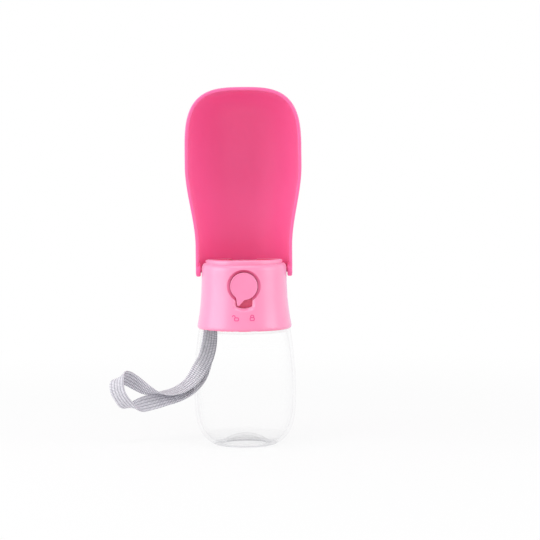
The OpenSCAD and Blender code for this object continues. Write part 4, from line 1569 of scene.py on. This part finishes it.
@dataclass
class Trough:
    """Drinking trough: a round, leaf-shaped half shell that hinges on two pins."""

    length: float = 135.0
    neck_r: float = 35.8
    radius: float = 43.2
    widen_from: float = 17.0
    widen_to: float = 77.0
    end_from: float = 86.0
    end_power: float = 3.17
    wall: float = 2.2
    tail: float = 3.0
    lip: float = 4.5
    slope: float = 0.022
    ear_r: float = 5.0
    ear_x: float = 32.1
    ear_out_x: float = 35.6
    ear_edge: float = 1.15
    hole_r: float = 1.55
    hole_x: tuple = (31.0, 38.0)
    sink_r: float = 2.9
    sink_deep: float = 0.6
    edge: float = 0.7
    edge_room: float = 0.4
    steps: int = 120

    def radius_at(self, s: float) -> float:
        """Return the outer radius at a distance above the hinge."""
        u = min(1.0, max(0.0, (s - self.widen_from) / (self.widen_to - self.widen_from)))
        return self.neck_r + (self.radius - self.neck_r) * u * u * (3 - 2 * u)

    def outline(self, tail: float) -> Outline:
        """Return the outer line from the tail to the pole.

        Args:
            tail: Length below the hinge.

        Returns:
            The points.
        """
        rows, power, z = 64, 2 / self.end_power, OUTLINE.pivot_z
        body = [-tail + (self.end_from + tail) * i / rows for i in range(rows)]
        turns = [math.pi / 2 * (i / 48) ** 0.9 for i in range(48)]
        end = [(self.radius * math.cos(a) ** power,
                z + self.end_from + (self.length - self.end_from) * math.sin(a) ** power)
               for a in turns]
        return [(self.radius_at(s), z + s) for s in body] + end + [(0.0, z + self.length)]

    def shell(self) -> Mesh:
        """Return the half shell with its wall and a rounded rim.

        Returns:
            A closed mesh.
        """
        bm = spun(self.outline(self.tail), self.steps)
        # Half a step off, so that no row of points runs through the middle of an ear
        swivel(bm, TURN / self.steps / 2, "Z")
        plane = Vector((0, -1, -self.slope)).normalized()
        bmesh.ops.bisect_plane(
            bm, geom=bm.verts[:] + bm.edges[:] + bm.faces[:], dist=0.001 * MM,
            plane_co=(0, -self.lip * MM, OUTLINE.pivot_z * MM), plane_no=plane, clear_outer=True)
        clear_round(bm, [e for e in bm.edges if e.is_boundary], self.edge_room)
        bm = modified(bm, "SOLIDIFY", thickness=self.wall * MM, offset=-1.0,
                      use_even_offset=False, use_rim=True)
        soften(bm, self.edge, 4, 50)
        return bm

    def ears(self) -> list[Mesh]:
        """Return the rounded ears that take the hinge pins.

        Returns:
            One mesh for each side.
        """
        made = []
        for side in Side:
            ear = on_hinge(side, self.ear_r, self.ear_r, self.ear_x, self.ear_out_x, 72)
            soften(ear, self.ear_edge, 5, 50)
            made.append(ear)
        return made

    def build(self) -> None:
        """Make the trough and dress it."""
        bm = joined(self.shell(), *self.ears())
        for side in Side:
            hole = on_hinge(side, self.hole_r, self.hole_r, self.hole_x[0], self.hole_x[1])
            sink = on_hinge(side, self.hole_r, self.sink_r, self.neck_r - self.sink_deep,
                            self.neck_r + self.sink_deep)
            bm = cut(bm, hole, sink)
        piece(bm, "trough_bowl", TROUGH_PLASTIC, "trough", ("trough",),
              smooth_deg=38)


@dataclass
class HingePins:
    """The two pins of the trough's hinge, with rounded ends."""

    radius: float = 1.5
    inner_x: float = 27.0
    outer_x: float = 34.6
    edge: float = 0.45

    def build(self) -> None:
        """Make both pins and dress them."""
        for side in Side:
            bm = on_hinge(side, self.radius, self.radius, self.inner_x, self.outer_x)
            soften(bm, self.edge, 3, 50)
            name = side.name.lower()
            piece(bm, f"hinge_pin_{name}_turned", TROUGH_PLASTIC, "head",
                  (f"hinge_pin_{name}",))


# ---------------------------------------------------------------------------- whole object


def dress_valve() -> None:
    """Dress the valve and the other pieces inside, whose solids are shown as they are."""
    dress(("inner_cap", "valve_body", "end_plug", "valve_stem"), VALVE_PLASTIC)
    dress(("neck_gasket", "inlet_seal", "outlet_seal", "end_plug_seal", "stem_seal_front",
           "stem_seal_rear", "poppet_seal"), SEAL_SILICONE)
    dress(("cap_screws", "poppet_clip", "return_spring", "button_clip", "strap_bar"), WIRE_STEEL)


def main() -> None:
    """Build the scene in order: camera, strap, studio, then the rigid pieces."""
    logging.basicConfig(level=logging.INFO, format="%(name)s %(message)s")
    studio = Studio()
    studio.camera()
    for part in (WristStrap(), studio, Bottle(), HeadShell(), LockMarks(), SpoutRim(), Button(),
                 Trough(), HingePins()):
        part.build()
    dress_valve()


if __name__ == "__main__":
    main()
